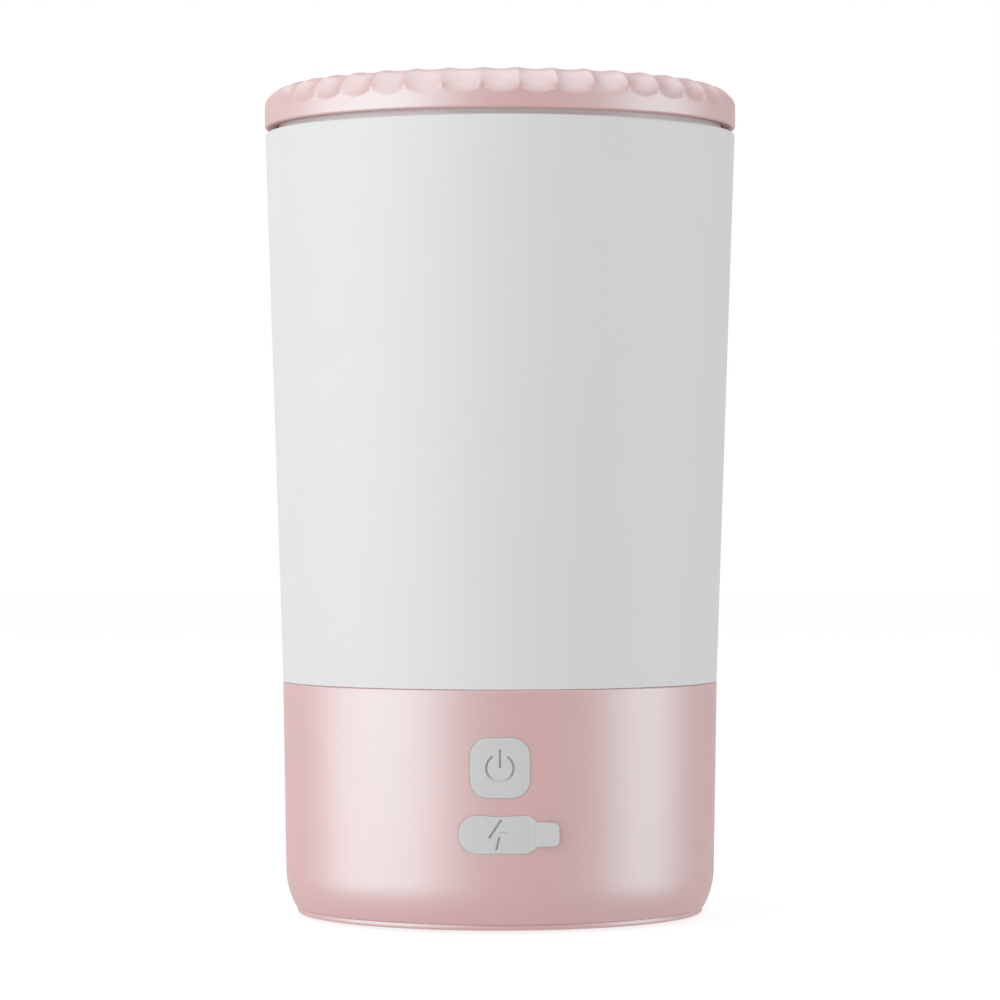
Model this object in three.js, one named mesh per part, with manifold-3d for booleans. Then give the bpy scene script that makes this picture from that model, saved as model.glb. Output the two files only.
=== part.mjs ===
// Electric paw washer cup: a water cup with a spinning bristle brush and a fluted rim,
// lifted on and off a battery-powered drive base.
// Millimetres, +Z up, origin on the floor under the centre. The front, with the power
// button and the charging port, faces -Y.
import * as THREE from "three";
import { mergeVertices } from "three/addons/utils/BufferGeometryUtils.js";
import Module from "manifold-3d";

const wasm = await Module();
wasm.setup();

// ---------------------------------------------------------------- driving dimensions
const RIM_R = 47.5; // outer radius of the fluted rim
const RIM_TOP = 166.75; // crest of the rim
const RIM_BOTTOM = 158.3;
const CUP_TOP_R = 47.4; // cup shell, outside
const CUP_BOTTOM_R = 43.75;
const CUP_TOP = 157.3;
const CUP_BOTTOM = 47.0;
const BASE_TOP_R = 43.8; // base shell, outside
const BASE_HEEL_R = 43.2; // where the rounded heel starts
const BASE_HEEL_Z = 9.5;
const BASE_TOP = 46.75;
const BASE_BOTTOM = 1.6;
const HEEL_RADIUS = 16; // the heel's arc, seen from the side
const WALL = 2.2; // base shell wall
const FOOT_HEIGHT = 0.5; // how far the foot ring stands below the cover
const FOOT_INNER = 24.5;
const FOOT_OUTER = 29.5;

const FLUTES = 40; // scoops round the rim's shoulder
const FLUTE_DEPTH = 0.6;
const FLUTE_LOW_Z = 161.5; // where a scoop runs out on the side wall
const FLUTE_FULL_Z = 163.6; // from here up a scoop has its full depth
const SHOULDER_Z = 162.55; // where the rim starts to round over
const SHOULDER_R = 6.5; // how far in the crest lies from the side wall
const GROOVE_R = 45.7; // outer wall of the groove that takes the tank's neck
const GROOVE_ROOF = 164.0;
const NECK_R = 44.6; // the tank's neck, outside
const NECK_TOP = 163.1;

const BUTTON_Z = 32.0;
const BUTTON_HALF = 5.8;
const BUTTON_CORNER = 3.6;
const PORT_Z = 19.2;
const FLAP_HALF_X = 7.9;
const FLAP_HALF_Z = 3.85;
const FLAP_TAB_END = 11.6;
const FLAP_TAB_HALF_Z = 2.38;
const FLAP_HINGE_X = -6.05;
const POCKET_FLOOR_Y = -41.6;

const DECK_LOW = 45.4; // the base's deck, under the cup
const DECK_TOP = 47.4;
const SPIGOT_R = 41.1; // collar that the cup drops over
const SPIGOT_TOP = 52.7;
const TANK_FLOOR = 54.0; // underside of the water tank

const GEAR_MODULE = 0.8;
const PRESSURE_ANGLE = THREE.MathUtils.degToRad(25);
const ADDENDUM = 0.85; // in modules
const DEDENDUM = 1.2;
const BACKLASH = 0.14; // taken off each tooth at the pitch circle
const PINION_TEETH = 12; // on the motor, and the small gear of the idler
const IDLER_TEETH = 36;
const OUTPUT_TEETH = 40;
const SHAFT_R = 2.0; // output shaft
const SPINDLE_R = 2.5; // brush spindle
const JAWS = 3; // per half of the drive coupling

// Places on the plan, worked out from the gear train's centre distances.
const polar = (radius, degrees) => {
  const a = THREE.MathUtils.degToRad(degrees);
  return [radius * Math.cos(a), radius * Math.sin(a)];
};
const centreDistance = (a, b) => (GEAR_MODULE * (a + b)) / 2;
const IDLER_DIRECTION = 20; // degrees, seen from the output shaft
const MOTOR_DIRECTION = -100; // degrees, seen from the idler
const IDLER = polar(centreDistance(OUTPUT_TEETH, PINION_TEETH), IDLER_DIRECTION);
const fromIdler = polar(centreDistance(IDLER_TEETH, PINION_TEETH), MOTOR_DIRECTION);
const MOTOR = [IDLER[0] + fromIdler[0], IDLER[1] + fromIdler[1]];
const PILLARS = [
  [-14, 31.5],
  [14, 31.5],
  [-26, -23],
  [26, -23],
];
const PLATE_BOSSES = [
  [-20, -7],
  [2, 24],
  [31, -12],
];
const MOTOR_SCREW_OFFSET = 7.6;
const BOARD_SCREWS = [
  [-13.5, 10.5], // x, z
  [13.5, 37],
];
const BATTERY = { y: 13, z: 14.2, radius: 9.15, half: 32.5 };
const BOARD = { front: -34.5, back: -33.0, half: 17, low: 6.5, high: 40 };

// Segments round a turned piece.
const FINE = 40;
const MEDIUM = 28;
const SMALL = 20;
const TINY = 10;

// ---------------------------------------------------------------- materials
const material = (colour, roughness, metalness = 0) =>
  new THREE.MeshStandardMaterial({ color: colour, roughness, metalness });
const pinkPearl = material(0xd3aead, 0.35);
const whiteMatte = material(0xe4e4e4, 0.6);
const greySilicone = material(0xcbcccb, 0.7);
const pinkSilicone = material(0xe3bcbc, 0.6);
const whiteSilicone = material(0xe9e6e3, 0.6);
const clearPlastic = material(0xe6e9ea, 0.3);
const nylon = material(0xdcd8cc, 0.5);
const steel = material(0x9fa3a8, 0.3, 1);
const zincSteel = material(0xb9bcc0, 0.35, 1);
const bronze = material(0xa8824a, 0.45, 1);
const blackRubber = material(0x1c1c1c, 0.8);
const blackPlastic = material(0x232427, 0.5);
const boardGreen = material(0x1d5b38, 0.45);
const cellBlue = material(0x2c5f9e, 0.4);
const redWire = material(0xb3221f, 0.5);

// ---------------------------------------------------------------- shape helpers
// Points of a circular or elliptical arc in a profile, angles in degrees.
function arc(cr, cz, radiusR, radiusZ, from, to, steps) {
  return Array.from({ length: steps + 1 }, (_, i) => {
    const a = THREE.MathUtils.degToRad(from + ((to - from) * i) / steps);
    return [cr + radiusR * Math.cos(a), cz + radiusZ * Math.sin(a)];
  });
}

// Turns a profile of [r, z] points about Z. A profile that touches the axis starts and
// ends on it, and any other one is closed here. Either way round is accepted.
function revolve(profile, segments) {
  const area = profile.reduce((sum, [r, z], i) => {
    const [nextR, nextZ] = profile[(i + 1) % profile.length];
    return sum + r * nextZ - nextR * z;
  }, 0);
  const ordered = area > 0 ? [...profile] : [...profile].reverse();
  if (ordered[0][0] > 0) ordered.push(ordered[0]);
  const points = ordered.map(([r, z]) => new THREE.Vector2(r, z));
  return new THREE.LatheGeometry(points, segments).rotateX(Math.PI / 2);
}

// A round rod or a tube along Z.
const rod = (radius, low, high, [x, y] = [0, 0], segments = SMALL) =>
  new THREE.CylinderGeometry(radius, radius, high - low, segments)
    .rotateX(Math.PI / 2)
    .translate(x, y, (low + high) / 2);
const tube = (inner, outer, low, high, segments = SMALL) =>
  revolve(
    [
      [inner, low],
      [outer, low],
      [outer, high],
      [inner, high],
    ],
    segments,
  );
const rodAlongY = (radius, low, high, [x, z], segments = TINY) =>
  new THREE.CylinderGeometry(radius, radius, high - low, segments).translate(x, (low + high) / 2, z);
const box = ([x0, x1], [y0, y1], [z0, z1]) =>
  new THREE.BoxGeometry(x1 - x0, y1 - y0, z1 - z0).translate(
    (x0 + x1) / 2,
    (y0 + y1) / 2,
    (z0 + z1) / 2,
  );

// A rectangle with round corners, centred on the origin. With the corner as large as
// the half height it is a stadium.
function roundRectangle(halfX, halfZ, corner) {
  const shape = new THREE.Shape();
  const x = halfX - corner;
  const z = halfZ - corner;
  const quarter = Math.PI / 2;
  shape.absarc(x, z, corner, 0, quarter);
  shape.absarc(-x, z, corner, quarter, 2 * quarter);
  shape.absarc(-x, -z, corner, 2 * quarter, 3 * quarter);
  shape.absarc(x, -z, corner, 3 * quarter, 4 * quarter);
  return shape;
}

// Extrudes a shape drawn on the front (x, z) from y = back out to y = front.
const extrudeToFront = (shape, back, front, z, curveSegments = 3) =>
  new THREE.ExtrudeGeometry(shape, { depth: back - front, bevelEnabled: false, curveSegments })
    .rotateX(Math.PI / 2)
    .translate(0, back, z);
const extrudeUp = (shape, low, high, curveSegments = 3) =>
  new THREE.ExtrudeGeometry(shape, { depth: high - low, bevelEnabled: false, curveSegments }).translate(
    0,
    0,
    low,
  );

// ---------------------------------------------------------------- cutting and joining
function toSolid(geometry) {
  const bare = geometry.clone();
  bare.deleteAttribute("normal");
  bare.deleteAttribute("uv");
  const merged = mergeVertices(bare, 1e-4);
  return new wasm.Manifold(
    new wasm.Mesh({
      numProp: 3,
      vertProperties: merged.attributes.position.array,
      triVerts: new Uint32Array(merged.index.array),
    }),
  );
}

function toGeometry(solid) {
  const { vertProperties, triVerts } = solid.getMesh();
  const geometry = new THREE.BufferGeometry();
  geometry.setAttribute("position", new THREE.BufferAttribute(vertProperties, 3));
  geometry.setIndex(new THREE.BufferAttribute(triVerts, 1));
  geometry.computeVertexNormals();
  return geometry;
}

const join = (first, ...others) =>
  toGeometry(others.reduce((solid, g) => solid.add(toSolid(g)), toSolid(first)));
const cut = (first, ...tools) =>
  toGeometry(tools.reduce((solid, g) => solid.subtract(toSolid(g)), toSolid(first)));
const common = (a, b) => toGeometry(toSolid(a).intersect(toSolid(b)));

// ---------------------------------------------------------------- gears and couplings
// The outline of a spur gear with involute flanks and one tooth centred on `phase`.
function gearShape(teeth, phase) {
  const pitch = (GEAR_MODULE * teeth) / 2;
  const base = pitch * Math.cos(PRESSURE_ANGLE);
  const tip = pitch + ADDENDUM * GEAR_MODULE;
  const root = pitch - DEDENDUM * GEAR_MODULE;
  const involute = (angle) => Math.tan(angle) - angle;
  const halfAtPitch = Math.PI / (2 * teeth) - BACKLASH / (2 * pitch);
  const halfAt = (radius) =>
    halfAtPitch + involute(PRESSURE_ANGLE) - involute(Math.acos(Math.min(1, base / radius)));
  const start = Math.max(base, root);
  const flank = [root, pitch, tip];
  const points = [];
  for (let tooth = 0; tooth < teeth; tooth++) {
    const centre = THREE.MathUtils.degToRad(phase) + (tooth * 2 * Math.PI) / teeth;
    const side = (sign) => (radius) => {
      const a = centre + sign * halfAt(Math.max(radius, start));
      return new THREE.Vector2(radius * Math.cos(a), radius * Math.sin(a));
    };
    points.push(...flank.map(side(-1)), ...[...flank].reverse().map(side(1)));
  }
  return new THREE.Shape(points);
}

// The jaws of one coupling half: ring sectors standing between two heights.
function jaws(low, high, firstAngle) {
  const inner = 4.6;
  const outer = 8.2;
  const halfWidth = 26;
  return Array.from({ length: JAWS }, (_, i) => {
    const from = THREE.MathUtils.degToRad(firstAngle + (360 / JAWS) * i - halfWidth);
    const to = from + THREE.MathUtils.degToRad(2 * halfWidth);
    const shape = new THREE.Shape();
    shape.absarc(0, 0, outer, from, to, false);
    shape.absarc(0, 0, inner, to, from, true);
    return extrudeUp(shape, low, high);
  });
}

// ---------------------------------------------------------------- fasteners and leads
// A pan-head screw along Z. The head sits on `seat`, and the shank runs away from it.
const screw = ([x, y], seat, headRadius, headHeight, shankRadius, end) => {
  const up = Math.sign(end - seat);
  const head = [seat, seat - up * headHeight].sort((a, b) => a - b);
  const shank = [seat - up * 0.2, end].sort((a, b) => a - b);
  return join(
    rod(headRadius, head[0], head[1], [x, y], TINY),
    rod(shankRadius, shank[0], shank[1], [x, y], 8),
  );
};

// An insulated wire through hand-placed points.
function lead(points, steps) {
  const radius = 0.65;
  const section = new THREE.Shape();
  section.absarc(0, 0, radius, 0, 2 * Math.PI);
  const path = new THREE.CatmullRomCurve3(points.map((p) => new THREE.Vector3(...p)));
  return new THREE.ExtrudeGeometry(section, { steps, curveSegments: 4, extrudePath: path });
}

// ---------------------------------------------------------------- the base
const shellRadiusAt = (z) =>
  BASE_HEEL_R + ((BASE_TOP_R - BASE_HEEL_R) * (z - BASE_HEEL_Z)) / (BASE_TOP - BASE_HEEL_Z);

function baseShell() {
  const heelCentre = BASE_HEEL_R - HEEL_RADIUS;
  const drop = BASE_BOTTOM - BASE_HEEL_Z;
  const angle = (radius) => THREE.MathUtils.radToDeg(Math.asin(drop / radius));
  const inside = HEEL_RADIUS - WALL;
  const outerHeel = arc(
    heelCentre, BASE_HEEL_Z, HEEL_RADIUS, HEEL_RADIUS, angle(HEEL_RADIUS), 0, 4,
  );
  const innerHeel = arc(heelCentre, BASE_HEEL_Z, inside, inside, 0, angle(inside), 2);
  const body = revolve(
    [
      ...outerHeel,
      [BASE_TOP_R, BASE_TOP - 0.45],
      [BASE_TOP_R - 0.45, BASE_TOP],
      [SPIGOT_R, BASE_TOP],
      [SPIGOT_R, 49.2],
      [SPIGOT_R - 0.9, 49.2], // seal groove
      [SPIGOT_R - 0.9, 50.8],
      [SPIGOT_R, 50.8],
      [SPIGOT_R, SPIGOT_TOP - 0.5],
      [SPIGOT_R - 0.5, SPIGOT_TOP],
      [SPIGOT_R - 2.2, SPIGOT_TOP],
      [SPIGOT_R - 2.2, DECK_TOP],
      [5.6, DECK_TOP], // pocket of the shaft seal
      [5.6, 45.9],
      [5.2, 45.9], // seat of the bearing
      [5.2, 41.7],
      [8.0, 41.7],
      [8.0, DECK_LOW],
      [BASE_TOP_R - WALL, DECK_LOW],
      ...innerHeel,
    ],
    FINE,
  );
  const pillars = PILLARS.map((at) => rod(3.2, 4.3, DECK_LOW + 0.5, at, TINY));
  const plateBosses = PLATE_BOSSES.map((at) => rod(3.0, 33.1, DECK_LOW + 0.5, at, TINY));
  const idlerBoss = rod(3.0, 41.4, DECK_LOW + 0.5, IDLER, TINY);
  const portPad = box([-9.5, 9.5], [-42.0, -40.0], [PORT_Z - 5.5, PORT_Z + 5.5]);
  const boardBosses = BOARD_SCREWS.map((at) => rodAlongY(2.5, -39.5, BOARD.front - 0.1, at));

  const screwHoles = [
    ...PILLARS.map((at) => rod(1.1, 4.0, 16, at, TINY)),
    ...PLATE_BOSSES.map((at) => rod(0.95, 33.0, 41, at, TINY)),
    ...BOARD_SCREWS.map((at) => rodAlongY(1.1, -38.6, BOARD.front, at)),
    rod(1.1, 41.0, 44.5, IDLER, TINY),
  ];
  const buttonHole = extrudeToFront(
    roundRectangle(BUTTON_HALF + 0.25, BUTTON_HALF + 0.25, BUTTON_CORNER + 0.25),
    -38, -46, BUTTON_Z,
  );
  const flapPocket = extrudeToFront(
    roundRectangle(FLAP_HALF_X + 0.2, FLAP_HALF_Z + 0.2, FLAP_HALF_Z + 0.2),
    POCKET_FLOOR_Y, -46, PORT_Z,
  );
  const portHole = extrudeToFront(roundRectangle(4.7, 1.85, 1.84), -39, -43, PORT_Z);
  const anchorHole = box([-7.6, -6.5], [-43, -39], [PORT_Z - 1.5, PORT_Z + 1.5]);
  return cut(
    join(body, ...pillars, ...plateBosses, idlerBoss, portPad, ...boardBosses),
    ...screwHoles, buttonHole, flapPocket, portHole, anchorHole,
  );
}

function bottomCover() {
  const low = FOOT_HEIGHT;
  const disc = revolve(
    [
      [0, low],
      [40.3, low],
      [40.7, low + 0.4],
      [40.7, BASE_BOTTOM - 0.1],
      [38.2, BASE_BOTTOM - 0.1],
      [38.2, 4.0],
      [36.6, 4.0],
      [36.6, 2.5],
      [0, 2.5],
    ],
    FINE,
  );
  const bosses = PILLARS.map((at) => rod(3.6, 2.0, 4.1, at, TINY));
  const counterbores = PILLARS.map((at) => rod(2.9, 0, 2.3, at, TINY));
  const holes = PILLARS.map((at) => rod(1.4, 0, 5, at, TINY));
  const footGroove = tube(FOOT_INNER - 0.2, FOOT_OUTER + 0.2, 0, 1.4, FINE);
  return cut(join(disc, ...bosses), ...counterbores, ...holes, footGroove);
}

function portSocket() {
  const [mouth, back] = [-40.8, BOARD.front - 0.1];
  const can = extrudeToFront(roundRectangle(4.45, 1.6, 1.59), back, mouth, PORT_Z, 4);
  const hollow = extrudeToFront(roundRectangle(4.15, 1.3, 1.29), back - 0.8, mouth - 1, PORT_Z, 4);
  const tongue = box([-3.35, 3.35], [mouth + 0.6, back - 0.4], [PORT_Z - 0.35, PORT_Z + 0.35]);
  return join(cut(can, hollow), tongue);
}

function mainBoard() {
  const plate = box(
    [-BOARD.half, BOARD.half], [BOARD.front, BOARD.back], [BOARD.low, BOARD.high],
  );
  const onBack = ([x0, x1], height, [z0, z1]) =>
    box([x0, x1], [BOARD.back - 0.2, BOARD.back + height], [z0, z1]);
  const parts = [
    onBack([-3, 3], 1.4, [24, 30]), // charge controller
    onBack([6, 11], 1.2, [18, 21]), // motor driver
    onBack([-9, -4.5], 2.6, [32, 36.5]), // inductor
    onBack([8, 10], 1.0, [26, 29]),
    onBack([12, 14], 1.0, [26, 29]),
  ];
  const holes = BOARD_SCREWS.map((at) => rodAlongY(1.2, -36, -32, at));
  return cut(join(plate, ...parts), ...holes);
}

function boardScrew(at) {
  return join(
    rodAlongY(2.1, BOARD.back + 0.1, BOARD.back + 1.4, at),
    rodAlongY(1.0, -38.2, BOARD.back + 0.2, at, 8),
  );
}

function switchBody() {
  const [front, back] = [-38.0, BOARD.front - 0.1];
  return cut(
    box([-3, 3], [front, back], [BUTTON_Z - 3, BUTTON_Z + 3]),
    rodAlongY(1.9, front - 1, front + 0.9, [0, BUTTON_Z]),
  );
}

function powerButton() {
  const cap = common(
    extrudeToFront(
      roundRectangle(BUTTON_HALF, BUTTON_HALF, BUTTON_CORNER), -40.4, -46, BUTTON_Z,
    ),
    rod(shellRadiusAt(BUTTON_Z) + 0.35, BUTTON_Z - 10, BUTTON_Z + 10, [0, 0], 96),
  );
  const flange = extrudeToFront(roundRectangle(7.2, 7.2, 4.6), -39.7, -40.5, BUTTON_Z);
  return join(cap, flange);
}

// The silicone port cover is one moulding on the real cup. Its left end is fixed in the
// shell and the rest swings on a thin web, so it is two solids here.
function flapBody() {
  return common(
    extrudeToFront(
      roundRectangle(FLAP_HALF_X, FLAP_HALF_Z, FLAP_HALF_Z - 0.01),
      POCKET_FLOOR_Y - 0.1, -46, PORT_Z,
    ),
    rod(shellRadiusAt(PORT_Z) + 0.15, PORT_Z - 10, PORT_Z + 10, [0, 0], 96),
  );
}

function portFlap() {
  const leftOfHinge = box([-12, FLAP_HINGE_X + 0.1], [-50, -38], [PORT_Z - 10, PORT_Z + 10]);
  const tab = extrudeToFront(
    roundRectangle((FLAP_TAB_END - 6.0) / 2, FLAP_TAB_HALF_Z, 1.1), -42.75, -43.75, PORT_Z,
  ).translate((FLAP_TAB_END + 6.0) / 2, 0, 0);
  const plug = extrudeToFront(
    roundRectangle(4.35, 1.5, 1.49), -40.95, POCKET_FLOOR_Y - 0.3, PORT_Z,
  );
  return join(cut(flapBody(), leftOfHinge), tab, plug);
}

function flapAnchor() {
  const rightOfHinge = box([FLAP_HINGE_X - 0.2, 12], [-50, -38], [PORT_Z - 10, PORT_Z + 10]);
  const stem = box([-7.4, -6.7], [POCKET_FLOOR_Y - 0.3, -39.0], [PORT_Z - 1.3, PORT_Z + 1.3]);
  const barb = box([-7.4, -6.7], [-39.8, -39.0], [PORT_Z - 2.2, PORT_Z + 2.2]);
  return join(cut(flapBody(), rightOfHinge), stem, barb);
}

// ---------------------------------------------------------------- drive train
// The gearbox plate's outline: the convex hull of discs round everything it carries.
function gearboxPlate() {
  const discs = [
    ...PLATE_BOSSES.map((at) => [at, 4.5]),
    [MOTOR, 9.5],
    [[0, 0], 6],
  ];
  const points = discs.flatMap(([[x, y], radius]) =>
    Array.from({ length: 16 }, (_, i) => {
      const [dx, dy] = polar(radius, i * 22.5);
      return [x + dx, y + dy];
    }),
  );
  const outline = new THREE.Shape(convexHull(points).map(([x, y]) => new THREE.Vector2(x, y)));
  return cut(
    extrudeUp(outline, 31.0, 33.0),
    rod(3.2, 30, 34, MOTOR),
    rod(4.1, 30, 34),
    rod(1.05, 30, 34, IDLER, TINY),
    ...PLATE_BOSSES.map((at) => rod(1.2, 30, 34, at, TINY)),
    ...motorScrewPlaces().map((at) => rod(1.1, 30, 34, at, TINY)),
  );
}

function convexHull(points) {
  const sorted = [...points].sort((a, b) => a[0] - b[0] || a[1] - b[1]);
  const turn = (o, a, b) => (a[0] - o[0]) * (b[1] - o[1]) - (a[1] - o[1]) * (b[0] - o[0]);
  const chain = (list) =>
    list.reduce((kept, p) => {
      while (kept.length > 1 && turn(kept[kept.length - 2], kept[kept.length - 1], p) <= 1e-6) {
        kept.pop();
      }
      return [...kept, p];
    }, []);
  const lower = chain(sorted);
  const upper = chain(sorted.reverse());
  return [...lower.slice(0, -1), ...upper.slice(0, -1)];
}

const motorScrewPlaces = () => [
  [MOTOR[0] - MOTOR_SCREW_OFFSET, MOTOR[1]],
  [MOTOR[0] + MOTOR_SCREW_OFFSET, MOTOR[1]],
];

// A small DC motor's round body with two flats.
const motorSection = (low, high) =>
  common(
    rod(10.2, low, high, MOTOR, 32),
    box([MOTOR[0] - 11, MOTOR[0] + 11], [MOTOR[1] - 7.7, MOTOR[1] + 7.7], [low - 1, high + 1]),
  );

function motorCan() {
  return cut(
    motorSection(9.6, 30.8),
    rod(1.3, 25.5, 31, MOTOR, TINY),
    ...motorScrewPlaces().map((at) => rod(1.05, 27.5, 31, at, TINY)),
  );
}

function motorEndCap() {
  const terminals = [-4, 4].map((dx) => {
    const x = MOTOR[0] + dx;
    return box([x - 1, x + 1], [MOTOR[1] - 0.3, MOTOR[1] + 0.3], [4.4, 6.6]);
  });
  return join(motorSection(6.4, 9.4), ...terminals);
}

function outputGear() {
  const hub = rod(5.0, 34.1, 41.2);
  const rim = extrudeUp(gearShape(OUTPUT_TEETH, IDLER_DIRECTION), 37.3, 40.9);
  return cut(join(hub, rim), rod(SHAFT_R + 0.08, 33, 42));
}

function idlerGear() {
  const wheel = extrudeUp(gearShape(IDLER_TEETH, MOTOR_DIRECTION), 33.9, 36.7);
  const gapTurn = 180 / PINION_TEETH; // turns a gap, not a tooth, to the mating gear
  const pinion = extrudeUp(
    gearShape(PINION_TEETH, IDLER_DIRECTION + 180 + gapTurn), 36.5, 41.1,
  );
  return cut(join(wheel, pinion), rod(1.12, 33, 42, [0, 0], 16)).translate(...IDLER, 0);
}

function motorPinion() {
  const gapTurn = 180 / PINION_TEETH;
  const outline = gearShape(PINION_TEETH, MOTOR_DIRECTION + 180 + gapTurn);
  return cut(extrudeUp(outline, 33.7, 36.9), rod(1.05, 33, 38, [0, 0], 16)).translate(...MOTOR, 0);
}

const driveCoupling = () =>
  cut(join(rod(8.4, 47.9, 49.7), ...jaws(49.5, 51.6, 0)), rod(SHAFT_R + 0.08, 47, 49.5));
const drivenCoupling = () =>
  cut(join(rod(8.4, 52.0, 53.7), ...jaws(49.9, 52.2, 60)), rod(SPINDLE_R + 0.08, 52.3, 55));

// ---------------------------------------------------------------- cup and brush
function cupShell() {
  const lip = 0.9; // rounding of the shoulder
  return revolve(
    [
      [CUP_BOTTOM_R - 0.4, CUP_BOTTOM],
      [CUP_BOTTOM_R, CUP_BOTTOM + 0.4],
      ...arc(CUP_TOP_R - lip, CUP_TOP - lip, lip, lip, 0, 90, 2),
      [44.95, CUP_TOP],
      [44.95, CUP_TOP - 1.9],
      [45.3, CUP_TOP - 1.9],
      [41.8, CUP_BOTTOM],
    ],
    FINE,
  );
}

function waterTank() {
  return revolve(
    [
      [40.9, TANK_FLOOR],
      [41.5, TANK_FLOOR + 1.0],
      [NECK_R, 155.6],
      [NECK_R, NECK_TOP - 0.4], // neck that the rim plugs into
      [NECK_R - 0.4, NECK_TOP],
      [43.0, NECK_TOP],
      [42.7, NECK_TOP - 0.4],
      [42.7, 155.6],
      [39.7, 57.2],
      [38.4, 56.2],
      [8.2, 56.2],
      [8.2, 62.8],
      [6.7, 62.8], // seal pocket
      [6.7, 59.6],
      [5.2, 59.6], // bush seat
      [5.2, TANK_FLOOR],
    ],
    FINE,
  );
}

function brushBasket() {
  const body = revolve(
    [
      [SPINDLE_R + 0.08, 63.4],
      [9.0, 63.4],
      [11.4, 58.4],
      [37.9, 58.4],
      [38.3, 58.8],
      [41.2, 149.6],
      [40.9, 150.0],
      [39.8, 150.0],
      [36.8, 61.0],
      [36.0, 60.0],
      [12.6, 60.0],
      [9.9, 65.4],
      [6.0, 69.2],
      [SPINDLE_R + 0.08, 69.2],
    ],
    MEDIUM,
  );
  const slots = Array.from({ length: 8 }, (_, i) =>
    box([-3, 3], [-45, -30], [72, 138]).rotateZ((i * Math.PI) / 4),
  );
  return cut(body, ...slots);
}

const bristleSleeve = () =>
  revolve(
    [
      [35.0, 61.3],
      [36.5, 61.3],
      [39.45, 149.8],
      [39.45, 150.3],
      [41.0, 150.3], // lip over the basket's edge
      [41.0, 151.6],
      [40.5, 152.0],
      [38.3, 152.0],
    ],
    MEDIUM,
  );

const floorBrush = () =>
  revolve(
    [
      [6.6, 69.7],
      [10.2, 66.0],
      [12.85, 60.3],
      [34.7, 60.3],
      [34.7, 61.9],
      [13.9, 61.9],
      [11.3, 67.2],
      [7.4, 70.8],
    ],
    MEDIUM,
  );

const brushNut = () =>
  cut(
    revolve([[0, 69.6], [6.0, 69.6], [6.0, 72.2], [4.6, 73.6], [0, 74.0]], SMALL),
    rod(SPINDLE_R + 0.08, 69, 72.9),
  );

// ---------------------------------------------------------------- rim
// Turned ring whose shoulder is scooped into flutes. Two segments a flute put one line
// of vertices in each scoop's middle and one on each ridge between scoops.
function rimRing() {
  const rise = RIM_TOP - SHOULDER_Z;
  const crestR = RIM_R - SHOULDER_R;
  const inner = [38.6, 164.2]; // where the crest's inner slope ends
  const ring = revolve(
    [
      [RIM_R - 0.7, RIM_BOTTOM],
      [RIM_R, RIM_BOTTOM + 0.7],
      [RIM_R, FLUTE_LOW_Z],
      ...arc(crestR, SHOULDER_Z, SHOULDER_R, rise, 12, 90, 3),
      inner,
      [37.6, 160.6], // ledge over the splash guard
      [39.9, 160.6],
      [39.9, 154.2],
      [42.2, 154.2], // plug flange inside the neck
      [42.2, GROOVE_ROOF],
      [GROOVE_R, GROOVE_ROOF],
      [GROOVE_R, RIM_BOTTOM],
    ],
    2 * FLUTES,
  );
  const position = ring.attributes.position;
  for (let i = 0; i < position.count; i++) {
    const [x, y, z] = [position.getX(i), position.getY(i), position.getZ(i)];
    const radius = Math.hypot(x, y);
    const step = Math.round((Math.atan2(y, x) / (2 * Math.PI)) * 2 * FLUTES);
    const inScoop = (step + FLUTES / 2) % 2 === 0;
    const inGroove = radius < GROOVE_R + 0.1 && z < GROOVE_ROOF + 0.1;
    const onShoulder = z > FLUTE_LOW_Z + 0.5 && radius > inner[0] + 0.4 && !inGroove;
    if (!inScoop || !onShoulder) continue;
    const share = Math.min(1, (z - FLUTE_LOW_Z) / (FLUTE_FULL_Z - FLUTE_LOW_Z));
    const tilt = Math.atan2((z - SHOULDER_Z) / rise, Math.max(0, radius - crestR) / SHOULDER_R);
    const depth = FLUTE_DEPTH * share;
    const scale = (radius - depth * Math.cos(tilt)) / radius;
    position.setXYZ(i, x * scale, y * scale, z - depth * Math.sin(tilt));
  }
  return ring;
}

const splashGuard = () =>
  revolve(
    [
      [39.7, 158.5],
      [39.7, 160.4],
      [38.1, 160.4],
      [36.6, 160.0],
      [27.0, 156.4],
      [26.0, 155.5],
      [26.5, 154.7],
      [37.4, 158.5],
    ],
    MEDIUM,
  );

const guardRetainer = () =>
  revolve([[37.5, 156.6], [39.7, 156.6], [39.7, 158.3], [38.0, 158.3], [37.5, 157.8]], MEDIUM);

// ---------------------------------------------------------------- the assembly
const washer = new THREE.Group();
const add = (name, geometry, look) => {
  const mesh = new THREE.Mesh(geometry, look);
  mesh.name = name;
  washer.add(mesh);
};

// Base housing
add("base_shell", baseShell(), pinkPearl);
add("bottom_cover", bottomCover(), pinkPearl);
add("foot_ring", tube(FOOT_INNER, FOOT_OUTER, 0, 1.3, FINE), greySilicone);
PILLARS.forEach((at, i) =>
  add(`cover_screw_${i + 1}`, screw(at, 2.2, 2.5, 1.3, 1.0, 13), zincSteel),
);
add("cup_seal", revolve(arc(40.85, 50.0, 0.62, 0.7, 0, 315, 7), FINE), blackRubber);

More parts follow.
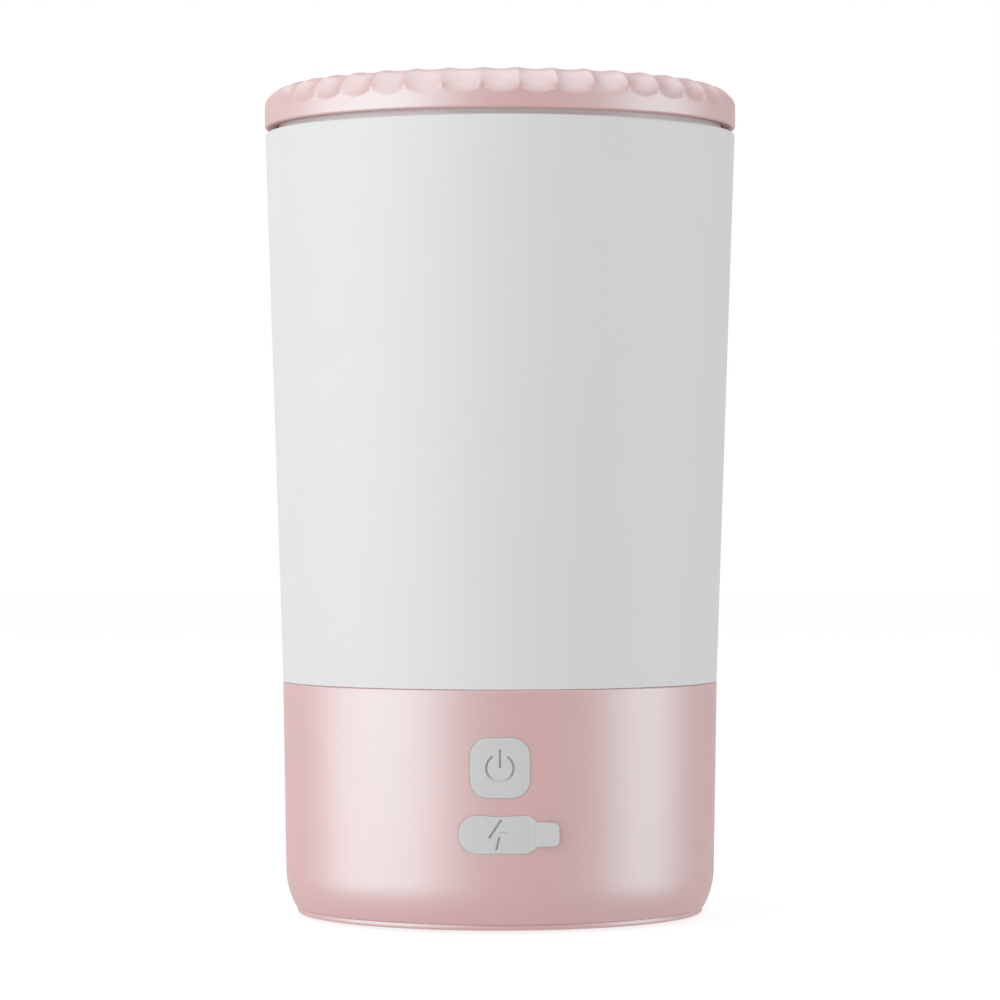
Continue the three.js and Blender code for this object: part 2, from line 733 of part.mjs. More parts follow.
// Electronics
add("main_board", mainBoard(), boardGreen);
BOARD_SCREWS.forEach((at, i) => add(`board_screw_${i + 1}`, boardScrew(at), zincSteel));
add("usb_socket", portSocket(), steel);
add("switch_body", switchBody(), blackPlastic);
add("status_led", box([-1.2, 1.2], [-35.7, -34.6], [BUTTON_Z - 6, BUTTON_Z - 4.4]), whiteMatte);
add("battery_plug", box([-13.5, -7.5], [-32.9, -29.6], [15.5, 19.5]), nylon);
add("motor_plug", box([2.6, 8.6], [-32.9, -29.6], [9, 13]), nylon);
const cell = rod(BATTERY.radius, -BATTERY.half, BATTERY.half).rotateY(Math.PI / 2);
const cellTip = rod(3, BATTERY.half - 0.5, BATTERY.half + 0.8).rotateY(Math.PI / 2);
add("battery_cell", join(cell, cellTip).translate(0, BATTERY.y, BATTERY.z), cellBlue);
const cradleBlock = box(
  [-22, 22], [BATTERY.y - 10.4, BATTERY.y + 10.4], [2.6, 12.5],
);
const cradleSeat = rod(BATTERY.radius + 0.2, -30, 30)
  .rotateY(Math.PI / 2)
  .translate(0, BATTERY.y, BATTERY.z);
add("battery_cradle", cut(cradleBlock, cradleSeat), nylon);
add(
  "battery_lead_black",
  lead(
    [
      [-33.3, 13, 14.2], [-35, 11, 14.6], [-33.5, 2, 15],
      [-26, -8, 16], [-17, -20, 17], [-12, -29.2, 17.5],
    ],
    12,
  ),
  blackRubber,
);
add(
  "battery_lead_red",
  lead(
    [
      [34.1, 13, 14.4], [35.4, 13, 20.5], [33.2, 13.2, 24.6], [15, 13, 25.6], [-8, 9, 25.2],
      [-16, -6, 22], [-12.5, -20, 19], [-9.2, -29.2, 17.5],
    ],
    18,
  ),
  redWire,
);
add(
  "motor_lead_black",
  lead([[10.6, -12.4, 5.4], [8.4, -17, 4.9], [5.2, -24.5, 9.4], [4.4, -29.2, 11]], 8),
  blackRubber,
);
add(
  "motor_lead_red",
  lead([[20.2, -13.0, 5.4], [17, -20, 5.0], [8.2, -25.8, 9.8], [6.9, -29.0, 11]], 8),
  redWire,
);

// Controls on the front
add("power_button", powerButton(), greySilicone);
add("switch_stem", rodAlongY(1.7, -39.3, -37.6, [0, BUTTON_Z]), whiteMatte);
add("port_flap", portFlap(), greySilicone);
add("flap_anchor", flapAnchor(), greySilicone);

// Motor and gear train
add("gearbox_plate", gearboxPlate(), zincSteel);
PLATE_BOSSES.forEach((at, i) =>
  add(`plate_screw_${i + 1}`, screw(at, 30.9, 2.6, 1.3, 0.85, 40), zincSteel),
);
add("motor_can", motorCan(), steel);
add("motor_end_cap", motorEndCap(), blackPlastic);
motorScrewPlaces().forEach((at, i) =>
  add(`motor_screw_${i + 1}`, screw(at, 33.1, 1.8, 1.1, 0.95, 28), zincSteel),
);
add("motor_shaft", rod(1.0, 26, 37, MOTOR, TINY), steel);
add("motor_pinion", motorPinion(), bronze);
add("idler_axle", rod(1.0, 31.1, 44.2, IDLER, TINY), steel);
add("idler_gear", idlerGear(), nylon);
add("lower_bush", tube(SHAFT_R + 0.1, 4.0, 30.9, 33.1), bronze);
add("drive_shaft", rod(SHAFT_R, 30.8, 49.3), steel);
add("output_gear", outputGear(), nylon);
add("shaft_bearing", tube(SHAFT_R + 0.1, 5.1, 41.8, 45.7), steel);
add("shaft_seal", tube(SHAFT_R + 0.1, 5.45, 46.0, 47.3), blackRubber);
add("drive_coupling", driveCoupling(), nylon);

// Cup
add("cup_shell", cupShell(), whiteMatte);
add("water_tank", waterTank(), whiteMatte);
add("spindle_bush", tube(SPINDLE_R + 0.1, 5.08, 54.2, 59.4), bronze);
add("spindle_seal", tube(SPINDLE_R + 0.1, 6.55, 59.8, 62.6), blackRubber);

// Brush
add("brush_basket", brushBasket(), clearPlastic);
add("bristle_sleeve", bristleSleeve(), pinkSilicone);
add("floor_brush", floorBrush(), pinkSilicone);
add("spindle", rod(SPINDLE_R, 52.4, 72.6), steel);
add("driven_coupling", drivenCoupling(), nylon);
add("brush_nut", brushNut(), pinkPearl);

// Rim
add("rim_ring", rimRing(), pinkPearl);
add("rim_gasket", tube(42.8, 45.2, 163.25, 163.9, MEDIUM), greySilicone);
add("splash_guard", splashGuard(), whiteSilicone);
add("guard_retainer", guardRetainer(), whiteMatte);

export default washer;
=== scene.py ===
"""Looks of the paw washer cup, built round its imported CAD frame.

Profiles and outlines are written in millimetres in the CAD frame and become metres in
the meshes. Turned pieces are closed (r, z) profiles whose corners carry their own
rounding. The front, with the button and the port, faces -Y.
"""
import math
import random

import bmesh
import bpy
from mathutils import Matrix, Vector


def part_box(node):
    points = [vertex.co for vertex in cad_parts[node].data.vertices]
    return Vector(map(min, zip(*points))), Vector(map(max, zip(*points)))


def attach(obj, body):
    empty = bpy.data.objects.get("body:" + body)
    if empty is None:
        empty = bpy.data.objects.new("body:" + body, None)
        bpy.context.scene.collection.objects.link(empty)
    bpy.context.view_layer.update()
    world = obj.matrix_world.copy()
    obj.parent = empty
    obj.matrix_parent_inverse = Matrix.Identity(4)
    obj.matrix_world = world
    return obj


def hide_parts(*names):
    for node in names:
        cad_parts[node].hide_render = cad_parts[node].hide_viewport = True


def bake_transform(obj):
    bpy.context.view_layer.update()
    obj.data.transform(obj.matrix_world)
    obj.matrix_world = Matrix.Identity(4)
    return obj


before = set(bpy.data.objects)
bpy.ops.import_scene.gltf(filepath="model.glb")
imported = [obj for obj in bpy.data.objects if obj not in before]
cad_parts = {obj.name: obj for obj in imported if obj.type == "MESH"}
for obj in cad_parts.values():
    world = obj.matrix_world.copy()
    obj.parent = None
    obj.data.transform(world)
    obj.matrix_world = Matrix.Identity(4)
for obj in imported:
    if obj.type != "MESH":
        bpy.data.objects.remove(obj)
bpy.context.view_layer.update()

MM = 0.001


def box_mm(node):
    """Lowest and highest corner of a CAD node, in millimetres."""
    low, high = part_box(node)
    return Vector(low) / MM, Vector(high) / MM


def turned_size(node):
    """Outer radius, bottom and top of a turned CAD node, in millimetres."""
    low, high = box_mm(node)
    return high.x, low.z, high.z


# ---------------- driving sizes
RIM_R, RIM_SKIRT_Z, RIM_CREST_Z = turned_size("rim_ring")
CUP_TOP_R, CUP_BOTTOM, CUP_TOP = turned_size("cup_shell")
BASE_TOP_R, BASE_BOTTOM, COLLAR_TOP = turned_size("base_shell")
TANK_R, TANK_FLOOR, TANK_TOP = turned_size("water_tank")
BUTTON_LOW, BUTTON_HIGH = box_mm("power_button")
FLAP_LOW, FLAP_HIGH = box_mm("port_flap")

RIM_TOP = RIM_CREST_Z - 0.1
RIM_BOTTOM = CUP_TOP + 1.0
CUP_BOTTOM_R = BASE_TOP_R - 0.05
BASE_TOP = CUP_BOTTOM - 0.25
BASE_RIM = CUP_BOTTOM - 0.03
HEEL_R = BASE_TOP_R - 0.6
HEEL_Z = BASE_BOTTOM + 7.9
HEEL_RADIUS = 16
WALL = 2.2
SPINDLE_BORE = 2.6

# The button and the port cover on the front.
BUTTON_Z = (BUTTON_LOW.z + BUTTON_HIGH.z) / 2
BUTTON_HALF = 5.8
BUTTON_CORNER = 3.6
PORT_Z = (FLAP_LOW.z + FLAP_HIGH.z) / 2
FLAP_HALF_X = 7.98
FLAP_HALF_Z = 3.68
TAB_HALF_Z = 2.38
TAB_END = FLAP_HIGH.x - 0.18
SEAM = 0.02
PORT_GROW = 0.06
HOLE_LIP = 0.04

# The flutes in the rim's shoulder.
FLUTES = 40
FLUTE_PITCH = 2 * math.pi / FLUTES
FLUTE_LOW_Z = RIM_TOP - 5.45
FLUTE_MEET_Z = FLUTE_LOW_Z + 1.1
FLUTE_BASE_Z = FLUTE_LOW_Z - 1.8
FLUTE_ROOF_Z = RIM_TOP - 2.55
FLUTE_SAG = 0.3
FLUTE_DEEPEST = 1.3
FLUTE_LEAN = 0.45
FLUTE_INNER_R = RIM_R - 9.1
FLUTE_FADE = 2.2
SHOULDER_Z = RIM_TOP - 4.1
SHOULDER_R = 6.5
RIM_GROOVE_R = RIM_R - 1.7

# The underside.
FOOT_INNER_R = 24.5
COVER_SCREWS = (1, 2, 3, 4)

# The brush's silicone bristles.
BRISTLE_R = 0.72
SLEEVE_FOOT_R = 35.0
SLEEVE_MOUTH_R = 38.3


# ---------------- node materials
class Surface:
    """A Principled material whose colour, roughness and relief come from noise.

    Scales are features per metre, so 2000 is a grain of half a millimetre.
    """

    def __init__(self, name, colour, roughness, metallic=0.0):
        self.material = bpy.data.materials.new(name)
        self.material.use_nodes = True
        self.material.diffuse_color = (*colour, 1)
        self.tree = self.material.node_tree
        self.shader = self.tree.nodes["Principled BSDF"]
        self.shader.inputs["Base Color"].default_value = (*colour, 1)
        self.shader.inputs["Roughness"].default_value = roughness
        self.shader.inputs["Metallic"].default_value = metallic
        self.colour = colour
        self.roughness = roughness
        self.place = self.node("ShaderNodeTexCoord").outputs["Object"]
        self.normal = None

    def node(self, kind, **settings):
        made = self.tree.nodes.new(kind)
        for key, value in settings.items():
            setattr(made, key, value)
        return made

    def link(self, source, target):
        self.tree.links.new(source, target)

    def set(self, **values):
        """Sets shader sockets that are the same all over: socket names with _ for space."""
        for key, value in values.items():
            self.shader.inputs[key.replace("_", " ")].default_value = value
        return self

    def noise(self, scale, detail=3.0, stretch=(1, 1, 1)):
        mapping = self.node("ShaderNodeMapping")
        mapping.inputs["Scale"].default_value = stretch
        self.link(self.place, mapping.inputs["Vector"])
        noise = self.node("ShaderNodeTexNoise")
        noise.inputs["Scale"].default_value = scale
        noise.inputs["Detail"].default_value = detail
        self.link(mapping.outputs["Vector"], noise.inputs["Vector"])
        return noise.outputs["Fac"]

    def cells(self, scale, feature="F1"):
        cells = self.node("ShaderNodeTexVoronoi", feature=feature)
        cells.inputs["Scale"].default_value = scale
        self.link(self.place, cells.inputs["Vector"])
        return cells

    def spread(self, value, low, high, narrow=0.25):
        """Maps the middle of a noise value, from narrow to 1 - narrow, onto low to high."""
        ramp = self.node("ShaderNodeMapRange")
        ramp.inputs["From Min"].default_value = narrow
        ramp.inputs["From Max"].default_value = 1 - narrow
        ramp.inputs["To Min"].default_value = low
        ramp.inputs["To Max"].default_value = high
        self.link(value, ramp.inputs["Value"])
        return ramp.outputs["Result"]

    def tint(self, value, dark, light):
        """Colour runs from dark to light times the base colour with a noise value."""
        mix = self.node("ShaderNodeMix", data_type="RGBA")
        mix.inputs["A"].default_value = (*[c * dark for c in self.colour], 1)
        mix.inputs["B"].default_value = (*[min(1, c * light) for c in self.colour], 1)
        self.link(self.spread(value, 0, 1), mix.inputs["Factor"])
        self.link(mix.outputs["Result"], self.shader.inputs["Base Color"])
        return self

    def rough(self, value, change):
        self.link(
            self.spread(value, self.roughness - change, self.roughness + change),
            self.shader.inputs["Roughness"],
        )
        return self

    def relief(self, value, height_mm, strength=1.0):
        """Adds a bump layer of the given height on top of those already there."""
        bump = self.node("ShaderNodeBump")
        bump.inputs["Strength"].default_value = strength
        bump.inputs["Distance"].default_value = height_mm * MM
        self.link(value, bump.inputs["Height"])
        if self.normal is not None:
            self.link(self.normal, bump.inputs["Normal"])
        self.normal = bump.outputs["Normal"]
        self.link(self.normal, self.shader.inputs["Normal"])
        return self


def pearl_plastic():
    """Satin rose plastic with a fine pearl in it, which shines whiter than its body colour."""
    s = Surface("rose_pearl", (0.60, 0.312, 0.315), 0.42)
    s.set(IOR=1.9, Specular_Tint=(0.34, 1.0, 1.0, 1.0))
    s.tint(s.noise(55, 2), 0.985, 1.02)
    s.rough(s.noise(420, 4), 0.02)
    s.relief(s.cells(9000).outputs["Color"], 0.0012, 0.35)
    s.relief(s.noise(900, 3), 0.004, 0.3)
    return s.material


def matte_white_plastic():
    s = Surface("matte_white", (0.607, 0.609, 0.611), 0.62)
    s.set(Specular_IOR_Level=0.35)
    s.tint(s.noise(38, 2), 0.992, 1.006)
    s.rough(s.noise(300, 4), 0.03)
    s.relief(s.noise(2600, 5), 0.012, 0.4)
    return s.material


def tank_plastic():
    """The water tank: thin white plastic with a faint pink glow painted in, painted light that
    lifts the shade on its neck under the rim ring.
    """
    s = Surface("tank_white", (0.80, 0.80, 0.80), 0.38)
    # Painted light: a faint pink emission that brightens the shaded neck under the rim ring.
    s.set(Emission_Color=(1.0, 0.72, 0.70, 1.0), Emission_Strength=0.09)
    s.tint(s.noise(45, 2), 0.985, 1.01)
    s.rough(s.noise(160, 3), 0.05)
    s.relief(s.noise(700, 3), 0.006, 0.35)
    return s.material


def silicone(name, colour, roughness=0.62, sheen=0.15):
    s = Surface(name, colour, roughness)
    s.set(Specular_IOR_Level=0.4, Sheen_Weight=sheen, Sheen_Roughness=0.5)
    s.set(Subsurface_Weight=0.08, Subsurface_Scale=0.002)
    s.tint(s.noise(120, 3), 0.975, 1.015)
    s.rough(s.noise(500, 3), 0.04)
    s.relief(s.noise(1800, 4), 0.008, 0.4)
    return s.material


def milky_plastic():
    """Translucent polypropylene of the brush basket."""
    s = Surface("milky_polypropylene", (0.70, 0.71, 0.72), 0.36)
    s.set(Subsurface_Weight=0.25, Subsurface_Scale=0.004)
    s.tint(s.noise(60, 2), 0.97, 1.02)
    s.rough(s.noise(240, 3), 0.05)
    s.relief(s.noise(800, 3), 0.01, 0.3)
    return s.material


def moulded(name, colour, roughness):
    """Opaque moulded plastic with a fine spark-eroded grain."""
    s = Surface(name, colour, roughness)
    s.tint(s.noise(90, 3), 0.95, 1.04)
    s.rough(s.noise(400, 3), 0.05)
    s.relief(s.noise(3000, 4), 0.01, 0.5)
    return s.material


def turned_metal(name, colour, roughness, streak=(1, 1, 12)):
    """Metal with tool marks that run round it."""
    s = Surface(name, colour, roughness, 1.0)
    marks = s.noise(900, 3, streak)
    s.tint(s.noise(150, 3), 0.92, 1.03)
    s.rough(marks, 0.07)
    s.relief(marks, 0.004, 0.5)
    return s.material


def rubber(name, colour):
    s = Surface(name, colour, 0.7)
    s.set(Specular_IOR_Level=0.35)
    s.tint(s.noise(300, 3), 0.85, 1.15)
    s.rough(s.noise(600, 3), 0.08)
    s.relief(s.noise(2500, 4), 0.01, 0.5)
    return s.material


def circuit_board():
    """Solder mask over a fine weave."""
    s = Surface("circuit_board", (0.02, 0.14, 0.05), 0.38)
    s.tint(s.noise(700, 2), 0.75, 1.3)
    s.rough(s.noise(900, 2), 0.06)
    s.relief(s.noise(1500, 2, (4, 1, 1)), 0.01, 0.5)
    return s.material


def shrink_sleeve():
    s = Surface("shrink_sleeve", (0.02, 0.11, 0.32), 0.34)
    s.tint(s.noise(80, 2), 0.9, 1.08)
    s.rough(s.noise(260, 3), 0.06)
    s.relief(s.noise(140, 4, (0.3, 1, 1)), 0.05, 0.4)
    return s.material


PEARL = pearl_plastic()
WHITE = matte_white_plastic()
TANK = tank_plastic()
GREY_SILICONE = silicone("grey_silicone", (0.50, 0.51, 0.51))
PINK_SILICONE = silicone("pink_silicone", (0.72, 0.43, 0.44), 0.5, 0.2)
CLEAR_SILICONE = silicone("white_silicone", (0.72, 0.70, 0.69), 0.5, 0.2)
MILKY = milky_plastic()
NYLON = moulded("natural_nylon", (0.66, 0.62, 0.52), 0.45)
BLACK_PLASTIC = moulded("black_plastic", (0.018, 0.018, 0.02), 0.5)
STEEL = turned_metal("stainless_steel", (0.56, 0.57, 0.58), 0.28)
ZINC = turned_metal("zinc_plate", (0.62, 0.64, 0.66), 0.34)
BRONZE = turned_metal("sintered_bronze", (0.42, 0.25, 0.09), 0.42)
BLACK_RUBBER = rubber("black_rubber", (0.012, 0.012, 0.012))
RED_PVC = rubber("red_insulation", (0.38, 0.012, 0.010))
BOARD = circuit_board()
SLEEVE = shrink_sleeve()


# ---------------- profile tools
def rounded(corners, steps=6):
    """A closed profile of (x, y, rounding) corners, each rounded off with an arc."""
    points = []
    count = len(corners)
    for i, (x, y, radius) in enumerate(corners):
        here = Vector((x, y))
        if radius <= 0:
            points.append((x, y))
            continue
        before = Vector(corners[i - 1][:2]) - here
        after = Vector(corners[(i + 1) % count][:2]) - here
        half = before.angle(after) / 2
        reach = min(radius / math.tan(half), 0.49 * before.length, 0.49 * after.length)
        centre = here + (before.normalized() + after.normalized()).normalized() * (
            reach / math.cos(half)
        )
        start = here + before.normalized() * reach - centre
        end = here + after.normalized() * reach - centre
        turn = start.angle_signed(end)
        for k in range(steps + 1):
            p = start.copy()
            p.rotate(Matrix.Rotation(-turn * k / steps, 2))
            points.append(tuple(centre + p))
    return points


def ring(node, inner, roundings, steps=3):
    """The square-cut profile between an inner radius and a turned CAD node's outer one.

    The roundings are of its inner low, outer low, outer high and inner high corner.
    """
    radius, low, high = turned_size(node)
    corners = [(inner, low), (radius, low), (radius, high), (inner, high)]
    return rounded([(*corner, rounding) for corner, rounding in zip(corners, roundings)], steps)


def arc(cx, cy, radius_x, radius_y, start, end, steps):
    """Points of an arc, with angles in degrees."""
    angles = [math.radians(start + (end - start) * i / steps) for i in range(steps + 1)]
    return [(cx + radius_x * math.cos(a), cy + radius_y * math.sin(a)) for a in angles]


def profile_normals(profile):
    """Unit normals of a closed profile, pointing outwards whichever way round it runs."""
    count = len(profile)
    area = sum(
        profile[i][0] * profile[(i + 1) % count][1] - profile[(i + 1) % count][0] * profile[i][1]
        for i in range(count)
    )
    side = 1 if area > 0 else -1
    normals = []
    for i in range(count):
        along = Vector(profile[(i + 1) % count]) - Vector(profile[i - 1])
        normals.append((Vector((along.y, -along.x)) * side).normalized())
    return normals


# ---------------- mesh tools
def finish_mesh(name, bm, material, sharp_degrees=38):
    """Turns a bmesh in millimetres into a smooth-shaded object in metres."""
    bmesh.ops.recalc_face_normals(bm, faces=bm.faces)
    bmesh.ops.scale(bm, vec=(MM, MM, MM), verts=bm.verts)
    mesh = bpy.data.meshes.new(name)
    bm.to_mesh(mesh)
    bm.free()
    mesh.shade_smooth()
    mesh.set_sharp_from_angle(angle=math.radians(sharp_degrees))
    mesh.materials.append(material)
    piece = bpy.data.objects.new(name, mesh)
    bpy.context.scene.collection.objects.link(piece)
    return piece


def lathe_into(bm, profile, segments, push=None, centre=(0, 0)):
    """Turns a closed profile about a vertical axis. push(r, z, angle) moves a point inwards."""
    normals = profile_normals(profile)
    columns = []
    for j in range(segments):
        angle = 2 * math.pi * j / segments
        column = []
        for (r, z), normal in zip(profile, normals):
            if r < 1e-6:
                column.append(None)
                continue
            if push is not None:
                depth = push(r, z, angle)
                r -= normal.x * depth
                z -= normal.y * depth
            x = centre[0] + r * math.cos(angle)
            y = centre[1] + r * math.sin(angle)
            column.append(bm.verts.new((x, y, z)))
        columns.append(column)
    poles = {
        i: bm.verts.new((*centre, z)) for i, (r, z) in enumerate(profile) if r < 1e-6
    }
    count = len(profile)
    for j in range(segments):
        here, there = columns[j], columns[(j + 1) % segments]
        for i in range(count):
            k = (i + 1) % count
            corners = [
                here[i] or poles[i],
                there[i] or poles[i],
                there[k] or poles[k],
                here[k] or poles[k],
            ]
            unique = list(dict.fromkeys(corners))
            if len(unique) > 2:
                bm.faces.new(unique)


def lathe(name, profile, material, segments=192, push=None, centre=(0, 0)):
    bm = bmesh.new()
    lathe_into(bm, profile, segments, push, centre)
    return finish_mesh(name, bm, material)


def skin(bm, rows):
    """Joins closed rows of vertices, all of equal count, with quads."""
    count = len(rows[0])
    for lower, upper in zip(rows, rows[1:]):
        for i in range(count):
            k = (i + 1) % count
            bm.faces.new((lower[i], lower[k], upper[k], upper[i]))


def loft_into(bm, outlines, caps=None):
    """Skins closed outlines of equal count and caps both ends, flat unless caps says how."""
    rows = [[bm.verts.new(p) for p in outline] for outline in outlines]
    skin(bm, rows)
    for row in (rows[0], rows[-1]):
        if caps is None:
            bm.faces.new(row)
        else:
            caps(bm, row)


def strip_cap(bm, row):
    """Caps a ring that mirrors itself, from its first point, with strips across it."""
    half = len(row) // 2
    bm.faces.new((row[0], row[1], row[-1]))
    for i in range(1, half - 1):
        bm.faces.new((row[i], row[i + 1], row[-i - 1], row[-i]))
    bm.faces.new((row[half - 1], row[half], row[half + 1]))


def boolean(piece, other, operation="DIFFERENCE"):
    """Cuts or joins another object into piece and removes the other object.

    Both go up to millimetres for it, because the solver is too coarse in metres.
    """
    for obj in (piece, other):
        obj.data.transform(Matrix.Scale(1 / MM, 4))
    modifier = piece.modifiers.new("boolean", "BOOLEAN")
    modifier.operation = operation
    modifier.object = other
    modifier.solver = "EXACT"
    bpy.context.view_layer.update()
    graph = bpy.context.evaluated_depsgraph_get()
    made = bpy.data.meshes.new_from_object(piece.evaluated_get(graph))
    piece.modifiers.clear()
    bm = bmesh.new()
    bm.from_mesh(made)
    bmesh.ops.remove_doubles(bm, verts=bm.verts, dist=0.001)
    bmesh.ops.scale(bm, vec=(MM, MM, MM), verts=bm.verts)
    bm.to_mesh(made)
    bm.free()
    old = piece.data
    piece.data = made
    made.name = old.name
    bpy.data.meshes.remove(old)
    bpy.data.objects.remove(other, do_unlink=True)
    made.shade_smooth()
    made.set_sharp_from_angle(angle=math.radians(38))
    return piece


def place(piece, body, slot, *nodes):
    """Hangs a finished piece on its body and names what it stands for."""
    piece.name = nodes[0] + "_fine"
    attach(piece, body)
    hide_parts(*nodes)


def turned(node, profile, material, body, slot, segments=192, push=None):
    """A turned piece that stands for the CAD node whose name it takes."""
    place(lathe(node, profile, material, segments, push), body, slot, node)


# ---------------- outlines on the front
def squircle(half_x, half_z, corner, grow=0.0, count=320):
    """A rounded rectangle, evenly stepped, starting at the right and going up."""
    hx, hz, radius = half_x + grow, half_z + grow, corner + grow
    straight_x, straight_z = hx - radius, hz - radius
    quarter = radius * math.pi / 2
    lengths = [straight_z, quarter, 2 * straight_x, quarter, 2 * straight_z, quarter]
    lengths += [2 * straight_x, quarter, straight_z]
    total = sum(lengths)
    corners = {1: (1, 1, 0), 3: (-1, 1, 90), 5: (-1, -1, 180), 7: (1, -1, 270)}
    lines = {
        0: ((hx, 0), (0, 1)),
        2: ((straight_x, hz), (-1, 0)),
        4: ((-hx, straight_z), (0, -1)),
        6: ((-straight_x, -hz), (1, 0)),
        8: ((hx, -straight_z), (0, 1)),
    }
    points = []
    for i in range(count):
        at = total * i / count
        stretch = 0
        while at > lengths[stretch] and stretch < 8:
            at -= lengths[stretch]
            stretch += 1
        if stretch in corners:
            sx, sz, start = corners[stretch]
            a = math.radians(start) + at / max(radius, 1e-9)
            points.append(
                (sx * straight_x + radius * math.cos(a), sz * straight_z + radius * math.sin(a))
            )
        else:
            (x, z), (dx, dz) = lines[stretch]
            points.append((x + dx * at, z + dz * at))
    return points


def shell_radius(z):
    """Radius of the base's tapered side at a height."""
    return HEEL_R + (BASE_TOP_R - HEEL_R) * (z - HEEL_Z) / (BASE_TOP - HEEL_Z)


def on_shell(x, z, proud=0.0):
    """The point of the base shell's front at (x, z), moved out by proud."""
    radius = shell_radius(z) + proud
    return (x, -math.sqrt(radius * radius - x * x), z)


def front_cutter(outline_at, centre_z, depth):
    """A plug for a hole in the front whose edge is rounded where it meets the shell."""
    bm = bmesh.new()
    rings = []
    steps = 6
    for k in range(steps + 1):
        a = math.pi / 2 * k / steps
        grow = HOLE_LIP * (1 - math.cos(a))
        sink = -HOLE_LIP * (1 - math.sin(a))
        rings.append([on_shell(x, centre_z + z, sink) for x, z in outline_at(grow)])
    rings.append([on_shell(x, centre_z + z, 1.0) for x, z in outline_at(HOLE_LIP)])
    rings.insert(0, [on_shell(x, centre_z + z, -depth) for x, z in outline_at(0.0)])
    loft_into(bm, rings, strip_cap)
    return finish_mesh("cutter", bm, PEARL)


# ---------------- engraved symbols
def distance_to_segment(x, z, ax, az, bx, bz):
    dx, dz = bx - ax, bz - az
    share = ((x - ax) * dx + (z - az) * dz) / (dx * dx + dz * dz)
    share = max(0.0, min(1.0, share))
    return math.hypot(x - ax - share * dx, z - az - share * dz)


def power_symbol(x, z):
    """Distance from the middle of the power symbol's strokes."""
    radius = 2.62
    gap = math.radians(37)
    angle = math.atan2(x, z)
    if abs(angle) > gap:
        ring = abs(math.hypot(x, z) - radius)
    else:
        side = math.copysign(gap, angle)
        ring = math.hypot(x - radius * math.sin(side), z - radius * math.cos(side))
    return min(ring, distance_to_segment(x, z, 0, 0.2, 0, 3.35))


def power_engraving(x, z):
    """The symbol's groove, which runs out shallow along the foot of its ring."""
    depth = 0.16 + 0.39 * smooth_step(z, -2.9, -1.2)
    return groove(power_symbol(x, z), 0.23, depth)


def bolt_engraving(x, z):
    """A lightning bolt cut deep along its two left edges and shallow at its shoulder."""
    upper = groove(distance_to_segment(x, z, 0.15, 2.7, -2.0, -0.5), 0.23, 0.55)
    lower = groove(distance_to_segment(x, z, -0.15, -0.65, -0.66, -2.75), 0.23, 0.55)
    shoulder = groove(distance_to_segment(x, z, 0.15, 0.42, 1.45, 0.36), 0.2, 0.2)
    return max(upper, lower, shoulder)


def groove(distance, half_width, depth):
    """Depth of a round-bottomed groove at a distance from its middle."""
    if distance >= half_width:
        return 0.0
    return depth * math.cos(distance / half_width * math.pi / 2) ** 0.6


def smooth_step(value, low, high):
    t = max(0.0, min(1.0, (value - low) / (high - low)))
    return t * t * (3 - 2 * t)


# ---------------- front pieces
def pad(name, outline, spine, front, back, material, rings, edge, back_rings=2):
    """A soft pad on the front: rings run in from the outline until they close on its spine.

    front(x, z) and back(x, z) say how proud of the shell each face stands, and the
    front face falls away over the last `edge` millimetres before the outline.
    """
    centre_z, (spine_low, spine_high) = spine
    edge_rings = 8
    edge_share = 0.15
    shares = [edge_share * (k / edge_rings) ** 2 for k in range(edge_rings)]
    shares += [edge_share + (1 - edge_share) * k / rings for k in range(rings + 1)]
    bm = bmesh.new()

    def row(share, height, fall):
        verts = []
        for x, z in outline:
            core = max(spine_low, min(spine_high, x))
            u, v = x + (core - x) * share, z * (1 - share)
            inside = min(edge, math.hypot(u - x, v - z))
            drop = edge - math.sqrt(edge * edge - (edge - inside) ** 2)
            verts.append(bm.verts.new(on_shell(u, centre_z + v, height(u, v) - fall * drop)))
        return verts

    rows = [row(1 - k / back_rings, back, 0) for k in range(back_rings + 1)]
    rows += [row(share, front, 1) for share in shares]
    skin(bm, rows)
    bmesh.ops.remove_doubles(bm, verts=bm.verts, dist=0.002)
    return finish_mesh(name, bm, material, 50)


def power_button():
    """Soft key, slightly crowned, with the power symbol engraved."""
    outline = squircle(BUTTON_HALF, BUTTON_HALF, BUTTON_CORNER, 0, 360)

    def front(x, z):
        crown = 0.12 * (1 - (x * x + z * z) / (2 * BUTTON_HALF**2))
        return 0.13 + crown - power_engraving(x, z)

    def back(x, z):
        return -2.6

    piece = pad("power_button", outline, (BUTTON_Z, (0, 0)), front, back, GREY_SILICONE, 90, 0.12)
    place(piece, "power_button", "grey_silicone", "power_button")


def port_outline(grow, count=200):
    """The stadium of the port cover, drawn in a little at its waist."""
    points = squircle(FLAP_HALF_X, FLAP_HALF_Z, FLAP_HALF_Z - 0.01, grow, count)
    return [(x, z - port_waist(x, z)) for x, z in points]


def port_waist(x, z):
    """How far the port cover's long edges draw in at a point: more above than below."""
    upper_sag, lower_sag, spread = 0.26, 0.08, 3.4
    sag = upper_sag if z > 0 else -lower_sag
    return sag * math.exp(-((x / spread) ** 2)) * smooth_step(abs(z), 2.0, FLAP_HALF_Z)


